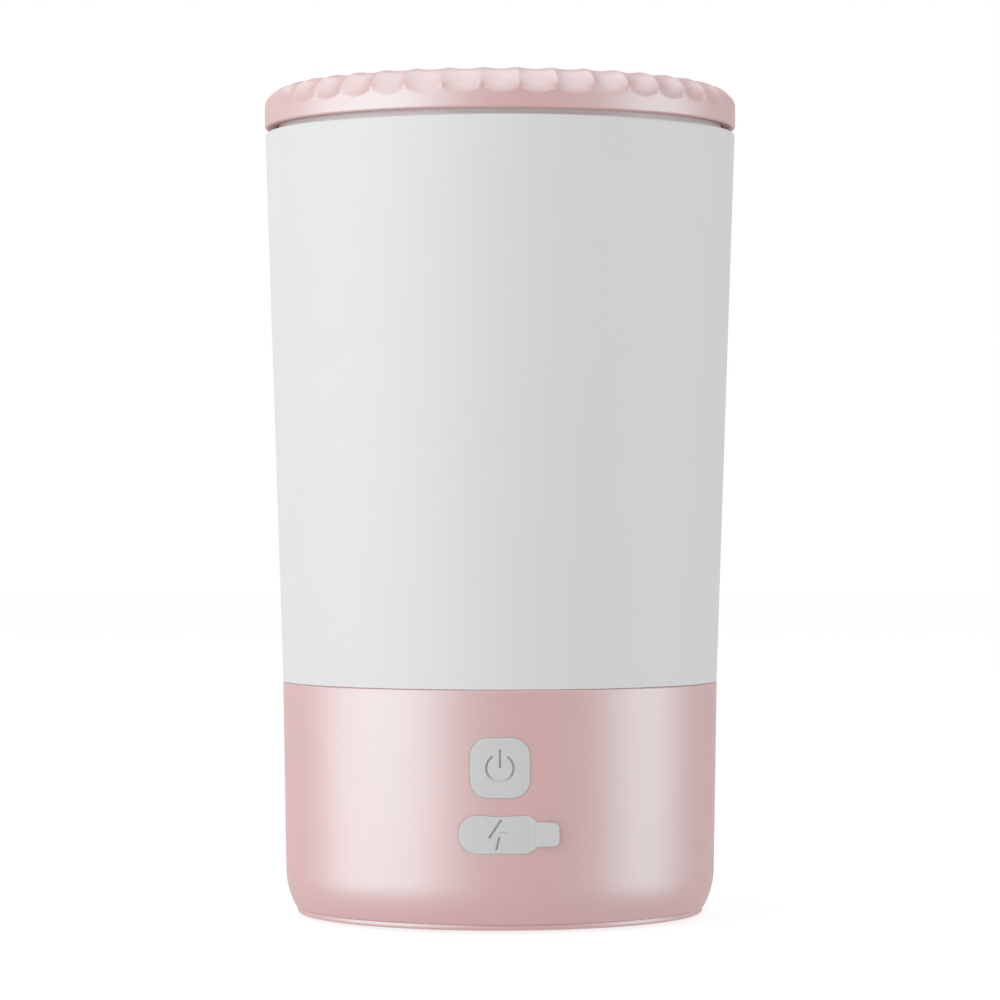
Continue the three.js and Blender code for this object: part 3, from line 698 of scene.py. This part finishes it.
def flap_outline(count=420):
    """The stadium of the port cover with its pull tab, as points round both."""
    root = FLAP_HALF_X - FLAP_HALF_Z + math.sqrt(FLAP_HALF_Z**2 - TAB_HALF_Z**2) + 0.2
    tip_half = TAB_HALF_Z - 0.12
    corner = 1.1
    stadium = port_outline(PORT_GROW, count)
    body = [p for p in stadium if not (abs(p[1]) < TAB_HALF_Z and p[0] > root - 0.25)]
    split = next(i for i, p in enumerate(body) if p[1] > 0)
    upper = arc(TAB_END - corner, tip_half - corner, corner, corner, 90, 0, 10)
    side = [
        (root + (TAB_END - corner - root) * k / 12, TAB_HALF_Z + (tip_half - TAB_HALF_Z) * k / 12)
        for k in range(12)
    ]
    edge = [(TAB_END, z) for z in (0.8, 0.4)]
    half = side + upper + edge
    lower = [(x, -z) for x, z in half]
    return body[split:] + body[:split] + lower + [(TAB_END, 0)] + half[::-1]


def port_cover():
    """Silicone cover in one piece: the left end is fixed, the rest swings on its web."""
    step_x = 6.2
    lift_x = 6.9
    lift = 0.19

    def front(x, z):
        step = 0.09 * smooth_step(x, step_x - 0.14, step_x + 0.14)
        return 0.14 + step + lift * max(0.0, x - lift_x) - bolt_engraving(x, z)

    def back(x, z):
        tab = front(x, z) - 0.75
        return -1.5 + (tab + 1.5) * smooth_step(x, lift_x + 0.2, lift_x + 1.2)

    # Its back is meshed as finely as its front, because it bends at the web.
    spine = (PORT_Z, (-4.0, 9.3))
    return pad("port_cover", flap_outline(), spine, front, back, GREY_SILICONE, 60, 0.12, 40)


# ---------------- rim
def bow(z, base_z, top_z, foot_z):
    """Radius at a height of an upright elliptic bow that spans the crest's width at foot_z."""
    def width(height):
        return math.sqrt(max(0.0, 1 - ((height - base_z) / (top_z - base_z)) ** 2))

    return RIM_R - SHOULDER_R + SHOULDER_R * width(z) / width(foot_z)


def scoop_middle(z):
    """Depth along the middle of a flute: the rim's shoulder less the flute's flatter bow."""
    if z < FLUTE_LOW_Z:
        return 0.0
    shoulder = bow(max(z, SHOULDER_Z), SHOULDER_Z, RIM_TOP, SHOULDER_Z)
    return max(0.0, shoulder - bow(z, FLUTE_BASE_Z, RIM_TOP - FLUTE_SAG, FLUTE_LOW_Z))


def scoop_depth(r, z, angle):
    """How deep the flutes cut into the rim's shoulder at a point.

    Each flute is a parabolic scoop one pitch wide. It starts as a round tongue at
    FLUTE_LOW_Z, meets its neighbours at FLUTE_MEET_Z and grows shallow over the crest.
    """
    if r < FLUTE_INNER_R or (r < RIM_GROOVE_R and z < FLUTE_ROOF_Z):
        return 0.0
    # One flute is centred on the front, which is at -90 degrees.
    offset = (angle + math.pi / 2 + FLUTE_PITCH / 2) % FLUTE_PITCH - FLUTE_PITCH / 2
    across = 2 * offset / FLUTE_PITCH
    # The bows are measured level; square to the shoulder the depth is less as it leans in.
    lean = smooth_step(z, SHOULDER_Z, RIM_TOP)
    middle = min(scoop_middle(z), FLUTE_DEEPEST) * (1 - FLUTE_LEAN * lean)
    middle += (FLUTE_SAG - middle) * smooth_step(z, RIM_TOP - FLUTE_DEEPEST, RIM_TOP)
    ridge = max(middle, scoop_middle(FLUTE_MEET_Z))
    fade = smooth_step(r, FLUTE_INNER_R, FLUTE_INNER_R + FLUTE_FADE)
    return max(0.0, middle - ridge * across * across) * fade


def rim_ring():
    """The fluted ring: wall, shoulder, crest and mouth, then seats for guard and gasket."""
    guard_r, _, guard_top = turned_size("splash_guard")
    gasket_r, _, gasket_top = turned_size("rim_gasket")
    seat_r, seat_z = guard_r + 0.2, guard_top + 0.2
    skirt_r = guard_r + 2.5
    mouth_r = guard_r - 1.7
    groove_r, groove_z = gasket_r + 0.5, gasket_top + 0.08
    lip = 0.55
    outer_wall = [(RIM_R, FLUTE_LOW_Z - 0.9), (RIM_R, FLUTE_LOW_Z - 0.2)]
    outer_wall += [(RIM_R, FLUTE_LOW_Z + 0.11 * k) for k in range(10)]
    rise = RIM_TOP - SHOULDER_Z
    crest = arc(RIM_R - SHOULDER_R, SHOULDER_Z, SHOULDER_R, rise, 1.5, 90, 44)
    profile = (
        arc(RIM_R - lip, RIM_BOTTOM + lip, lip, lip, -90, 0, 7)
        + outer_wall
        + crest
        + arc(mouth_r + 2.7, RIM_TOP - 3.2, 2.7, 3.2, 92, 172, 14)
        + rounded(
            [
                (mouth_r, seat_z + 1.0, 0),
                (mouth_r - 0.4, seat_z, 0.3),
                (seat_r, seat_z, 0.15),
                (seat_r, RIM_SKIRT_Z, 0.5),
                (skirt_r, RIM_SKIRT_Z, 0.7),
                (skirt_r, groove_z, 0.3),
                (groove_r, groove_z, 0.3),
                (groove_r, RIM_BOTTOM, 0.25),
            ],
            3,
        )
    )
    turned("rim_ring", profile, PEARL, "rim", "pink_pearl", FLUTES * 26, scoop_depth)


def splash_guard():
    """Soft diaphragm: a flat clamped edge, then petals parted by radial slits."""
    radius, low, top = turned_size("splash_guard")
    clamp_z = top - 1.9
    mouth_r = 26.0
    corners = [
        (radius, clamp_z, 0.2),
        (radius, top, 0.2),
        (radius - 1.6, top, 0.4),
        (radius - 3.3, top - 0.5, 1.5),
        (mouth_r + 1.0, top - 3.9, 1.5),
        (mouth_r, top - 4.8, 0.35),
        (mouth_r + 0.5, top - 5.6, 0.35),
        (radius - 2.3, clamp_z, 0.8),
    ]
    profile = rounded(corners, 5)
    piece = lathe("splash_guard", profile, CLEAR_SILICONE, 288)
    slits = bmesh.new()
    count = 12
    middle_r = 30.6
    outline = squircle(4.8, 0.28, 0.27, 0, 40)
    for k in range(count):
        turn = Matrix.Rotation(2 * math.pi * (k + 0.5) / count, 4, "Z")
        ends = (low - 4.7, top + 3.6)
        rings = [[turn @ Vector((middle_r + x, z, h)) for x, z in outline] for h in ends]
        loft_into(slits, rings)
    boolean(piece, finish_mesh("slits", slits, CLEAR_SILICONE))
    place(piece, "rim", "white_silicone", "splash_guard")


def rim_small_parts():
    """The ring that clamps the splash guard, and the gasket over the tank's mouth."""
    retainer = ring("guard_retainer", 37.5, (0.2, 0.2, 0.2, 0.6), 4)
    turned("guard_retainer", retainer, WHITE, "rim", "white_body")
    gasket = ring("rim_gasket", 42.8, (0.2, 0.2, 0.2, 0.2), 4)
    turned("rim_gasket", gasket, GREY_SILICONE, "rim", "grey_silicone")


# ---------------- cup
def cup_shell():
    """The tapered white shell, whose inturned top edge holds the tank's neck."""
    neck_r = TANK_R + 0.35
    turned_in = CUP_TOP - 1.9
    corners = [
        (CUP_BOTTOM_R, CUP_BOTTOM, 0.12),
        (CUP_TOP_R, CUP_TOP, 0.65),
        (neck_r, CUP_TOP, 0.2),
        (neck_r, turned_in, 0),
        (neck_r + 0.35, turned_in, 0.1),
        (CUP_BOTTOM_R - 1.95, CUP_BOTTOM, 0.3),
    ]
    profile = rounded(corners, 8)
    turned("cup_shell", profile, WHITE, "cup", "white_body", 256)


def water_tank():
    """The tank: a straight neck, tapered walls and a hub that seals round the spindle."""
    neck_low = TANK_TOP - 7.5
    inner_floor = TANK_FLOOR + 2.2
    hub_top = TANK_FLOOR + 8.8
    seal_seat = TANK_FLOOR + 5.6
    hub_r, seal_r, bush_r = 8.2, 6.7, 5.2
    corners = [
        (TANK_R - 3.7, TANK_FLOOR, 0.6),
        (TANK_R - 3.1, TANK_FLOOR + 1.0, 0.4),
        (TANK_R, neck_low, 0.1),
        (TANK_R, TANK_TOP, 0.6),
        (TANK_R - 1.9, TANK_TOP, 0.5),
        (TANK_R - 1.9, neck_low, 0.4),
        (TANK_R - 4.9, inner_floor, 2.6),
        (hub_r, inner_floor, 0.8),
        (hub_r, hub_top, 0.3),
        (seal_r, hub_top, 0.3),
        (seal_r, seal_seat, 0),
        (bush_r, seal_seat, 0),
        (bush_r, TANK_FLOOR, 0.2),
    ]
    profile = rounded(corners, 6)
    turned("water_tank", profile, TANK, "cup", "white_body", 256)


def cup_small_parts():
    """The bush and the lip seal in the tank's hub."""
    bush = ring("spindle_bush", SPINDLE_BORE, (0.2, 0.2, 0.2, 0.2))
    turned("spindle_bush", bush, BRONZE, "cup", "bronze", 96)
    radius, low, high = turned_size("spindle_seal")
    dip = high - 1.4
    corners = [
        (SPINDLE_BORE, low, 0.2),
        (radius, low, 0.2),
        (radius, high, 0.3),
        (SPINDLE_BORE + 2.6, high, 0.2),
        (SPINDLE_BORE + 2.0, dip, 0.2),
        (SPINDLE_BORE + 1.0, dip, 0.2),
        (SPINDLE_BORE, high, 0.2),
    ]
    seal = rounded(corners, 3)
    turned("spindle_seal", seal, BLACK_RUBBER, "cup", "black_rubber", 96)


# ---------------- brush
def brush_basket():
    """The basket: tapered and slotted, with a hub that stands up over the tank's."""
    radius, low, top = turned_size("brush_basket")
    inner_floor = low + 1.6
    hub_low, hub_top = low + 5.0, low + 10.8
    corners = [
        (SPINDLE_BORE, hub_low, 0),
        (9.0, hub_low, 0.8),
        (11.4, low, 0.8),
        (radius - 3.1, low, 0.9),
        (radius, top, 0.4),
        (radius - 1.4, top, 0.2),
        (radius - 4.4, inner_floor, 0.8),
        (12.6, inner_floor, 1.2),
        (9.9, hub_low + 2.0, 2.0),
        (6.0, hub_top, 0.5),
        (SPINDLE_BORE, hub_top, 0),
    ]
    profile = rounded(corners, 5)
    piece = lathe("brush_basket", profile, MILKY, 192)
    slots = bmesh.new()
    count = 8
    middle_z = 105
    outline = squircle(3.0, 33.0, 2.9, 0, 96)
    for k in range(count):
        turn = Matrix.Rotation(2 * math.pi * k / count - math.pi / 2, 4, "Z")
        rings = [[turn @ Vector((d, x, middle_z + z)) for x, z in outline] for d in (30, 45)]
        loft_into(slots, rings)
    boolean(piece, finish_mesh("slots", slots, MILKY))
    place(piece, "brush", "basket_plastic", "brush_basket")


def bristle_into(bm, root, direction, length, sides=10):
    """A tapered silicone finger with a flared root and a round tip."""
    along = Vector(direction).normalized()
    side = along.orthogonal().normalized()
    other = along.cross(side)
    angles = [2 * math.pi * i / sides for i in range(sides)]
    spokes = [side * math.cos(a) + other * math.sin(a) for a in angles]
    # How far along the finger each ring lies, and its radius there as a share of the shank's.
    stations = [(-0.25, 1.7), (0.0, 1.55), (0.06, 1.15), (0.16, 1.0), (0.55, 0.82), (0.86, 0.62)]
    stations += [(0.94, 0.52), (0.985, 0.33)]
    rings = []
    for share, scale in stations:
        centre = Vector(root) + along * (share * length if share > 0 else share)
        rings.append([centre + spoke * (BRISTLE_R * scale) for spoke in spokes])
    loft_into(bm, rings)


def bristle_sleeve():
    """A tapered sleeve with a flange over the basket's edge and staggered rows of bristles."""
    flange_r, low, top = turned_size("bristle_sleeve")
    flange_z = top - 1.7
    outer_r = flange_r - 1.55
    corners = [
        (SLEEVE_FOOT_R, low, 0.4),
        (SLEEVE_FOOT_R + 1.5, low, 0.4),
        (outer_r, flange_z - 0.5, 0),
        (outer_r, flange_z, 0.1),
        (flange_r, flange_z, 0.3),
        (flange_r, top, 0.8),
        (SLEEVE_MOUTH_R, top, 0.9),
    ]
    profile = rounded(corners, 5)
    bm = bmesh.new()
    lathe_into(bm, profile, 192)
    randomness = random.Random(7)
    rows, columns = 17, 30
    first_row, row_pitch = low + 6.2, 4.9
    for row in range(rows):
        z = first_row + row * row_pitch
        r = SLEEVE_FOOT_R + (SLEEVE_MOUTH_R - SLEEVE_FOOT_R) * (z - low) / (top - low)
        for column in range(columns):
            a = 2 * math.pi * (column + 0.5 * (row % 2)) / columns
            root = (r * math.cos(a), r * math.sin(a), z)
            lean = randomness.uniform(-0.05, 0.05)
            droop = randomness.uniform(-0.10, 0.0)
            inward = (-math.cos(a + lean), -math.sin(a + lean), droop)
            bristle_into(bm, root, inward, randomness.uniform(8.9, 9.4))
    piece = finish_mesh("bristle_sleeve", bm, PINK_SILICONE)
    place(piece, "brush", "pink_silicone", "bristle_sleeve")


def floor_brush():
    """The pad on the basket's floor, drawn up over its hub, with rings of bristles."""
    radius, low, top = turned_size("floor_brush")
    face = low + 1.6
    corners = [
        (6.6, top - 1.1, 0.2),
        (10.2, low + 5.7, 0.8),
        (12.85, low, 0.6),
        (radius, low, 0.3),
        (radius, face, 0.5),
        (13.9, face, 1.2),
        (11.3, low + 6.9, 1.2),
        (7.4, top, 0.4),
    ]
    profile = rounded(corners, 4)
    bm = bmesh.new()
    lathe_into(bm, profile, 144)
    randomness = random.Random(11)
    length, pitch = 9.0, 5.4
    for number, r in enumerate((17.0, 21.5, 26.0, 30.5)):
        count = round(2 * math.pi * r / pitch)
        for k in range(count):
            a = 2 * math.pi * (k + 0.5 * (number % 2)) / count
            root = (r * math.cos(a), r * math.sin(a), face)
            up = (randomness.uniform(-0.06, 0.06), randomness.uniform(-0.06, 0.06), 1)
            bristle_into(bm, root, up, length)
    piece = finish_mesh("floor_brush", bm, PINK_SILICONE)
    place(piece, "brush", "pink_silicone", "floor_brush")


def coupling(node, disc, jaws, first_jaw, bore, body):
    """Half of the drive coupling: a disc with three jaws, each given as (bottom, top)."""
    radius = turned_size(node)[0]
    (low, high), edge = disc, 0.15 if bore else 0
    profile = rounded(
        [(bore, low, edge), (radius, low, 0.35), (radius, high, 0.35), (bore, high, edge)], 3
    )
    piece = lathe(node, profile, NYLON, 120)
    teeth = bmesh.new()
    half = math.radians(26)
    outer_r, inner_r = radius - 0.25, radius - 3.75
    for k in range(3):
        middle = math.radians(first_jaw + 120 * k)
        angles = [middle - half + 2 * half * i / 16 for i in range(17)]
        outline = [(outer_r * math.cos(a), outer_r * math.sin(a)) for a in angles]
        outline += [(inner_r * math.cos(a), inner_r * math.sin(a)) for a in reversed(angles)]
        loft_into(teeth, [[Vector((x, y, h)) for x, y in outline] for h in jaws])
    boolean(piece, finish_mesh("jaws", teeth, NYLON), "UNION")
    place(piece, body, "nylon", node)


def brush_small_parts():
    """The knurled nut, the spindle and its half of the coupling."""
    radius, low, top = turned_size("brush_nut")
    chamfer = 1.8
    corners = [
        (0, low, 0),
        (radius, low, 0.2),
        (radius, top - 1.6, 1.0),
        (radius - chamfer, top, 0.8),
        (0, top, 0),
    ]
    nut = rounded(corners, 5)

    def knurl(r, z, angle):
        on_side = smooth_step(r, radius - 1.0, radius - 0.2)
        starts = smooth_step(z, low + 0.3, low + 0.8)
        ends = 1 - smooth_step(z, top - 2.0, top - 1.2)
        ridges, depth = 24, 0.22
        return depth * on_side * starts * ends * (0.5 + 0.5 * math.cos(ridges * angle))

    turned("brush_nut", nut, PEARL, "brush", "pink_pearl", 240, knurl)
    spindle = ring("spindle", 0, (0, 0.4, 0.4, 0))
    turned("spindle", spindle, STEEL, "brush", "steel", 96)
    jaw_foot, disc_top = turned_size("driven_coupling")[1:]
    disc_low = disc_top - 1.7
    disc, jaws = (disc_low, disc_top), (jaw_foot, disc_low + 0.3)
    coupling("driven_coupling", disc, jaws, 60, SPINDLE_BORE, "brush")


# ---------------- base
def base_shell():
    """The base: heel, side, seam ledge, the collar with its seal groove, deck and hub."""
    seal_low, seal_high = turned_size("cup_seal")[1:]
    seal_z = (seal_low + seal_high) / 2
    collar_r, collar_inner_r, groove_r = 41.1, 38.9, 40.2
    deck_top = COLLAR_TOP - 5.3
    deck_low = deck_top - 2.0
    seal_bore, bearing_bore, hub_r = 5.6, 5.2, 8.0
    bearing_top = deck_low + 0.5
    hub_low = deck_low - 3.7
    drop = BASE_BOTTOM - HEEL_Z
    heel_angle = math.degrees(math.asin(drop / HEEL_RADIUS))
    heel_centre = HEEL_R - HEEL_RADIUS
    inside = HEEL_RADIUS - WALL
    inner_angle = math.degrees(math.asin(drop / inside))
    edge = 0.35
    steps = 26
    heights = [HEEL_Z + (BASE_RIM - edge - 0.05 - HEEL_Z) * k / steps for k in range(1, steps + 1)]
    side = [(shell_radius(z), z) for z in heights]
    foot_r = heel_centre + HEEL_RADIUS * math.cos(math.radians(heel_angle))
    profile = (
        [(foot_r - 0.15, BASE_BOTTOM)]
        + arc(heel_centre, HEEL_Z, HEEL_RADIUS, HEEL_RADIUS, heel_angle + 0.8, 0, 20)
        + side
        + arc(BASE_TOP_R - edge, BASE_RIM - edge, edge, edge, 5, 90, 7)
        + rounded(
            [
                (43.0, BASE_RIM, 0.05),
                (42.9, BASE_TOP, 0.05),
                (collar_r, BASE_TOP, 0.15),
                (collar_r, seal_z - 0.8, 0.1),
                (groove_r, seal_z - 0.8, 0.1),
                (groove_r, seal_z + 0.8, 0.1),
                (collar_r, seal_z + 0.8, 0.1),
                (collar_r, COLLAR_TOP, 0.5),
                (collar_inner_r, COLLAR_TOP, 0.5),
                (collar_inner_r, deck_top, 0.6),
                (seal_bore, deck_top, 0.2),
                (seal_bore, bearing_top, 0),
                (bearing_bore, bearing_top, 0),
                (bearing_bore, hub_low, 0.2),
                (hub_r, hub_low, 0.3),
                (hub_r, deck_low, 0.4),
                (BASE_TOP_R - WALL, deck_low, 0.8),
            ],
            4,
        )
        + arc(heel_centre, HEEL_Z, inside, inside, 0, inner_angle, 12)
    )
    piece = lathe("base_shell", profile, PEARL, 360)

    def button_hole(grow):
        return squircle(BUTTON_HALF, BUTTON_HALF, BUTTON_CORNER, SEAM + grow, 200)

    def port_pocket(grow):
        return port_outline(PORT_GROW + SEAM + grow)

    boolean(piece, front_cutter(button_hole, BUTTON_Z, 3.2))
    boolean(piece, front_cutter(port_pocket, PORT_Z, 1.75))
    port = bmesh.new()
    outline = squircle(4.7, 1.85, 1.8, 0, 64)
    loft_into(port, [[Vector((x, y, PORT_Z + z)) for x, z in outline] for y in (-42.5, -39)])
    boolean(piece, finish_mesh("port_hole", port, PEARL))
    place(piece, "base", "pink_pearl", "base_shell")


def bottom_cover():
    """The cover: a groove for the foot ring, an edge under the shell and a rib inside it."""
    radius, low, high = turned_size("bottom_cover")
    foot_r, _, foot_top = turned_size("foot_ring")
    groove_inner_r, groove_outer_r, groove_z = FOOT_INNER_R - 0.2, foot_r + 0.2, foot_top + 0.1
    edge_r, edge_top = radius + 0.2, BASE_BOTTOM - 0.01
    rib_r = radius - 2.5
    floor_top = low + 2.0
    corners = [
        (0, low, 0),
        (groove_inner_r, low, 0.15),
        (groove_inner_r, groove_z, 0.1),
        (groove_outer_r, groove_z, 0.1),
        (groove_outer_r, low, 0.15),
        (edge_r, low, 0.5),
        (edge_r, edge_top, 0.08),
        (rib_r, edge_top, 0.02),
        (rib_r, high, 0.3),
        (rib_r - 1.6, high, 0.3),
        (rib_r - 1.6, floor_top, 0.3),
        (0, floor_top, 0),
    ]
    profile = rounded(corners, 4)
    piece = lathe("bottom_cover", profile, PEARL, 256)
    wells = bmesh.new()
    well = [(0, -1), (2.8, -1), (2.8, 2.28), (0, 2.28)]
    for number in COVER_SCREWS:
        lathe_into(wells, well, 48, centre=screw_place(number))
    boolean(piece, finish_mesh("wells", wells, PEARL))
    place(piece, "base", "pink_pearl", "bottom_cover")


def screw_place(number):
    low, high = box_mm(f"cover_screw_{number}")
    return ((low.x + high.x) / 2, (low.y + high.y) / 2)


def cover_screw(number):
    """A pan-head screw with a cross recess, which stands head down in its well."""
    x, y = screw_place(number)
    head_r, shank_r = 2.4, 1.0
    head_low, head_top, tip = 0.95, 2.2, 13.0
    corners = [
        (0, head_low, 0),
        (head_r, head_low, 0.55),
        (head_r, head_top, 0.1),
        (shank_r, head_top, 0.1),
        (shank_r, tip, 0.4),
        (0, tip, 0),
    ]
    profile = rounded(corners, 5)
    piece = lathe(f"cover_screw_{number}", profile, ZINC, 64, centre=(x, y))
    for turn in (0, math.pi / 2):
        recess = bmesh.new()
        arm = Matrix.Rotation(turn + 0.4 * number, 4, "Z")
        rings = []
        for h, reach, half in ((0.0, 1.45, 0.30), (1.7, 0.55, 0.16)):
            corners = [(-reach, -half), (reach, -half), (reach, half), (-reach, half)]
            rings.append([arm @ Vector((u, v, h)) + Vector((x, y, 0)) for u, v in corners])
        loft_into(recess, rings)
        boolean(piece, finish_mesh("recess", recess, ZINC))
    place(piece, "base", "zinc_steel", f"cover_screw_{number}")


def foot_ring():
    """Silicone foot with two shallow drip grooves."""
    radius, _, top = turned_size("foot_ring")
    depth, width = 0.25, 0.5
    corners = [(FOOT_INNER_R, 0, 0.3)]
    for r in (26.0, 27.6):
        corners += [(r, 0, 0.1), (r, depth, 0.1), (r + width, depth, 0.1), (r + width, 0, 0.1)]
    corners += [(radius, 0, 0.3), (radius, top, 0.15), (FOOT_INNER_R, top, 0.15)]
    turned("foot_ring", rounded(corners, 3), GREY_SILICONE, "base", "grey_silicone")


def base_small_parts():
    """The collar's O-ring, the shaft seal and the drive's half of the coupling."""
    radius, low, high = turned_size("cup_seal")
    half_width, half_height = 0.62, (high - low) / 2
    middle = (radius - half_width, (low + high) / 2)
    o_ring = arc(*middle, half_width, half_height, 0, 345, 23)
    turned("cup_seal", o_ring, BLACK_RUBBER, "base", "black_rubber")
    seal = ring("shaft_seal", 2.1, (0.2, 0.2, 0.3, 0.5))
    turned("shaft_seal", seal, BLACK_RUBBER, "base", "black_rubber", 96)
    disc_low, jaw_top = turned_size("drive_coupling")[1:]
    disc_top = disc_low + 1.8
    coupling("drive_coupling", (disc_low, disc_top), (disc_top - 0.2, jaw_top), 0, 0, "drive")


def usb_socket():
    """Steel shell of the port with its tongue, standing in the shell's opening."""
    bm = bmesh.new()
    low, high = box_mm("usb_socket")
    mouth, back = low.y, high.y
    half_x, half_z, wall = high.x, (high.z - low.z) / 2, 0.3
    outer = squircle(half_x, half_z, half_z - 0.05, 0, 64)
    inner = squircle(half_x, half_z, half_z - 0.05, -wall, 64)
    rows = []
    for outline, y in ((outer, back), (outer, mouth + 0.1), (inner, mouth), (inner, back - 0.8)):
        rows.append([bm.verts.new((x, y, PORT_Z + z)) for x, z in outline])
    skin(bm, rows)
    bm.faces.new(rows[0])
    bm.faces.new(rows[-1])
    piece = finish_mesh("usb_socket", bm, STEEL)
    tongue = bmesh.new()
    flat = squircle(3.35, 0.35, 0.3, 0, 40)
    ends = (mouth + 0.6, back - 0.4)
    loft_into(tongue, [[Vector((x, y, PORT_Z + z)) for x, z in flat] for y in ends])
    boolean(piece, finish_mesh("tongue", tongue, STEEL), "UNION")
    place(piece, "base", "steel", "usb_socket")


# ---------------- pieces kept from the CAD
KEPT = (
    (BOARD, ("main_board",)),
    (SLEEVE, ("battery_cell",)),
    (RED_PVC, ("battery_lead_red", "motor_lead_red")),
    (BLACK_RUBBER, ("battery_lead_black", "motor_lead_black")),
    (NYLON, ("battery_cradle", "battery_plug", "motor_plug", "idler_gear", "output_gear")),
    (WHITE, ("status_led", "switch_stem")),
    (BLACK_PLASTIC, ("switch_body", "motor_end_cap")),
    (STEEL, ("motor_can", "motor_shaft", "idler_axle", "drive_shaft", "shaft_bearing")),
    (BRONZE, ("motor_pinion", "lower_bush")),
    (ZINC, ("gearbox_plate", "board_screw_1", "board_screw_2", "motor_screw_1", "motor_screw_2")),
    (ZINC, ("plate_screw_1", "plate_screw_2", "plate_screw_3")),
)


def finish_kept_nodes():
    """Gives the CAD nodes that keep their shape their materials."""
    for material, nodes in KEPT:
        for node in nodes:
            for material_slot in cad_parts[node].material_slots:
                material_slot.material = material


# ---------------- studio
ROOM_LIGHT = 0.75
SOFTBOX_DISTANCE = 1.2


def camera():
    """Level product view from the front, a little below the cup's mid height."""
    data = bpy.data.cameras.new("camera")
    data.lens = 147.39
    data.sensor_width = 36
    data.shift_y = 0.0063
    data.clip_end = 20
    view = bpy.data.objects.new("camera", data)
    view.location = (0, -0.8284, 0.0822)
    view.rotation_euler = (math.pi / 2, 0, 0)
    bpy.context.scene.collection.objects.link(view)
    bpy.context.scene.camera = view


def softbox(name, azimuth, elevation, turn, rise, radiance, seen_by="diffuse and gloss"):
    """A light panel that faces the cup from a direction given in degrees.

    Azimuth is counted from the camera's side, positive to the right. Turn and rise are
    the panel's width and height in degrees as the cup sees it. seen_by names the rays
    that it lights, so a reflection can be placed apart from the shading.
    """
    a, e = math.radians(azimuth), math.radians(elevation)
    data = bpy.data.lights.new(name, "AREA")
    data.shape = "RECTANGLE"
    data.size = 2 * SOFTBOX_DISTANCE * math.tan(math.radians(turn / 2))
    data.size_y = 2 * SOFTBOX_DISTANCE * math.tan(math.radians(rise / 2))
    data.energy = radiance * math.pi * data.size * data.size_y
    light = bpy.data.objects.new(name, data)
    out = Vector((math.sin(a) * math.cos(e), -math.cos(a) * math.cos(e), math.sin(e)))
    light.location = Vector((0, 0, CUP_BOTTOM * MM)) + out * SOFTBOX_DISTANCE
    light.rotation_euler = (-out).to_track_quat("-Z", "Y").to_euler()
    light.visible_camera = False
    light.visible_diffuse = "diffuse" in seen_by
    light.visible_glossy = "gloss" in seen_by
    bpy.context.scene.collection.objects.link(light)


def room():
    """An even white room: white to the camera and a little dimmer as a light."""
    world = bpy.data.worlds.new("room")
    world.use_nodes = True
    tree = world.node_tree
    seen = tree.nodes.new("ShaderNodeLightPath").outputs["Is Camera Ray"]
    level = tree.nodes.new("ShaderNodeMapRange")
    level.inputs["To Min"].default_value = ROOM_LIGHT
    level.inputs["To Max"].default_value = 1.0
    tree.links.new(seen, level.inputs["Value"])
    background = tree.nodes["Background"]
    background.inputs["Color"].default_value = (1, 1, 1, 1)
    tree.links.new(level.outputs["Result"], background.inputs["Strength"])
    bpy.context.scene.world = world


def studio():
    scene = bpy.context.scene
    scene.view_settings.view_transform = "Standard"
    scene.view_settings.look = "None"
    room()
    softbox("left_softbox", -52, 25, 40, 50, 1.6)
    softbox("far_left_softbox", -125, 20, 40, 40, 0.5)
    softbox("far_right_softbox", 120, 20, 40, 40, 0.4, "diffuse")
    softbox("left_gloss", -64, 4, 74, 44, 4.2, "gloss")
    softbox("right_gloss", 80, 4, 42, 44, 4.2, "gloss")
    softbox("top_gloss", -12, 84, 90, 78, 2.95, "gloss")
    bm = bmesh.new()
    lathe_into(bm, [(0, -2.0), (3000, -2.0), (3000, -0.05), (0, -0.05)], 96)
    paper = Surface("floor_paper", (0.25, 0.25, 0.25), 0.9)
    paper.set(Specular_IOR_Level=0.1, Emission_Color=(1, 1, 1, 1), Emission_Strength=0.78)
    paper.relief(paper.noise(60, 4), 0.05, 0.1)
    floor = finish_mesh("floor", bm, paper.material)
    # The gloss of the cup's foot sees the panels as if the floor were glass.
    floor.visible_shadow = False
    floor.visible_glossy = False


# ---------------- assembly
camera()
studio()
rim_ring()
splash_guard()
rim_small_parts()
cup_shell()
water_tank()
cup_small_parts()
brush_basket()
bristle_sleeve()
floor_brush()
brush_small_parts()
base_shell()
bottom_cover()
for screw_number in COVER_SCREWS:
    cover_screw(screw_number)
foot_ring()
base_small_parts()
usb_socket()
power_button()
cover = port_cover()
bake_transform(cover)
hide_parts("port_flap", "flap_anchor")
finish_kept_nodes()
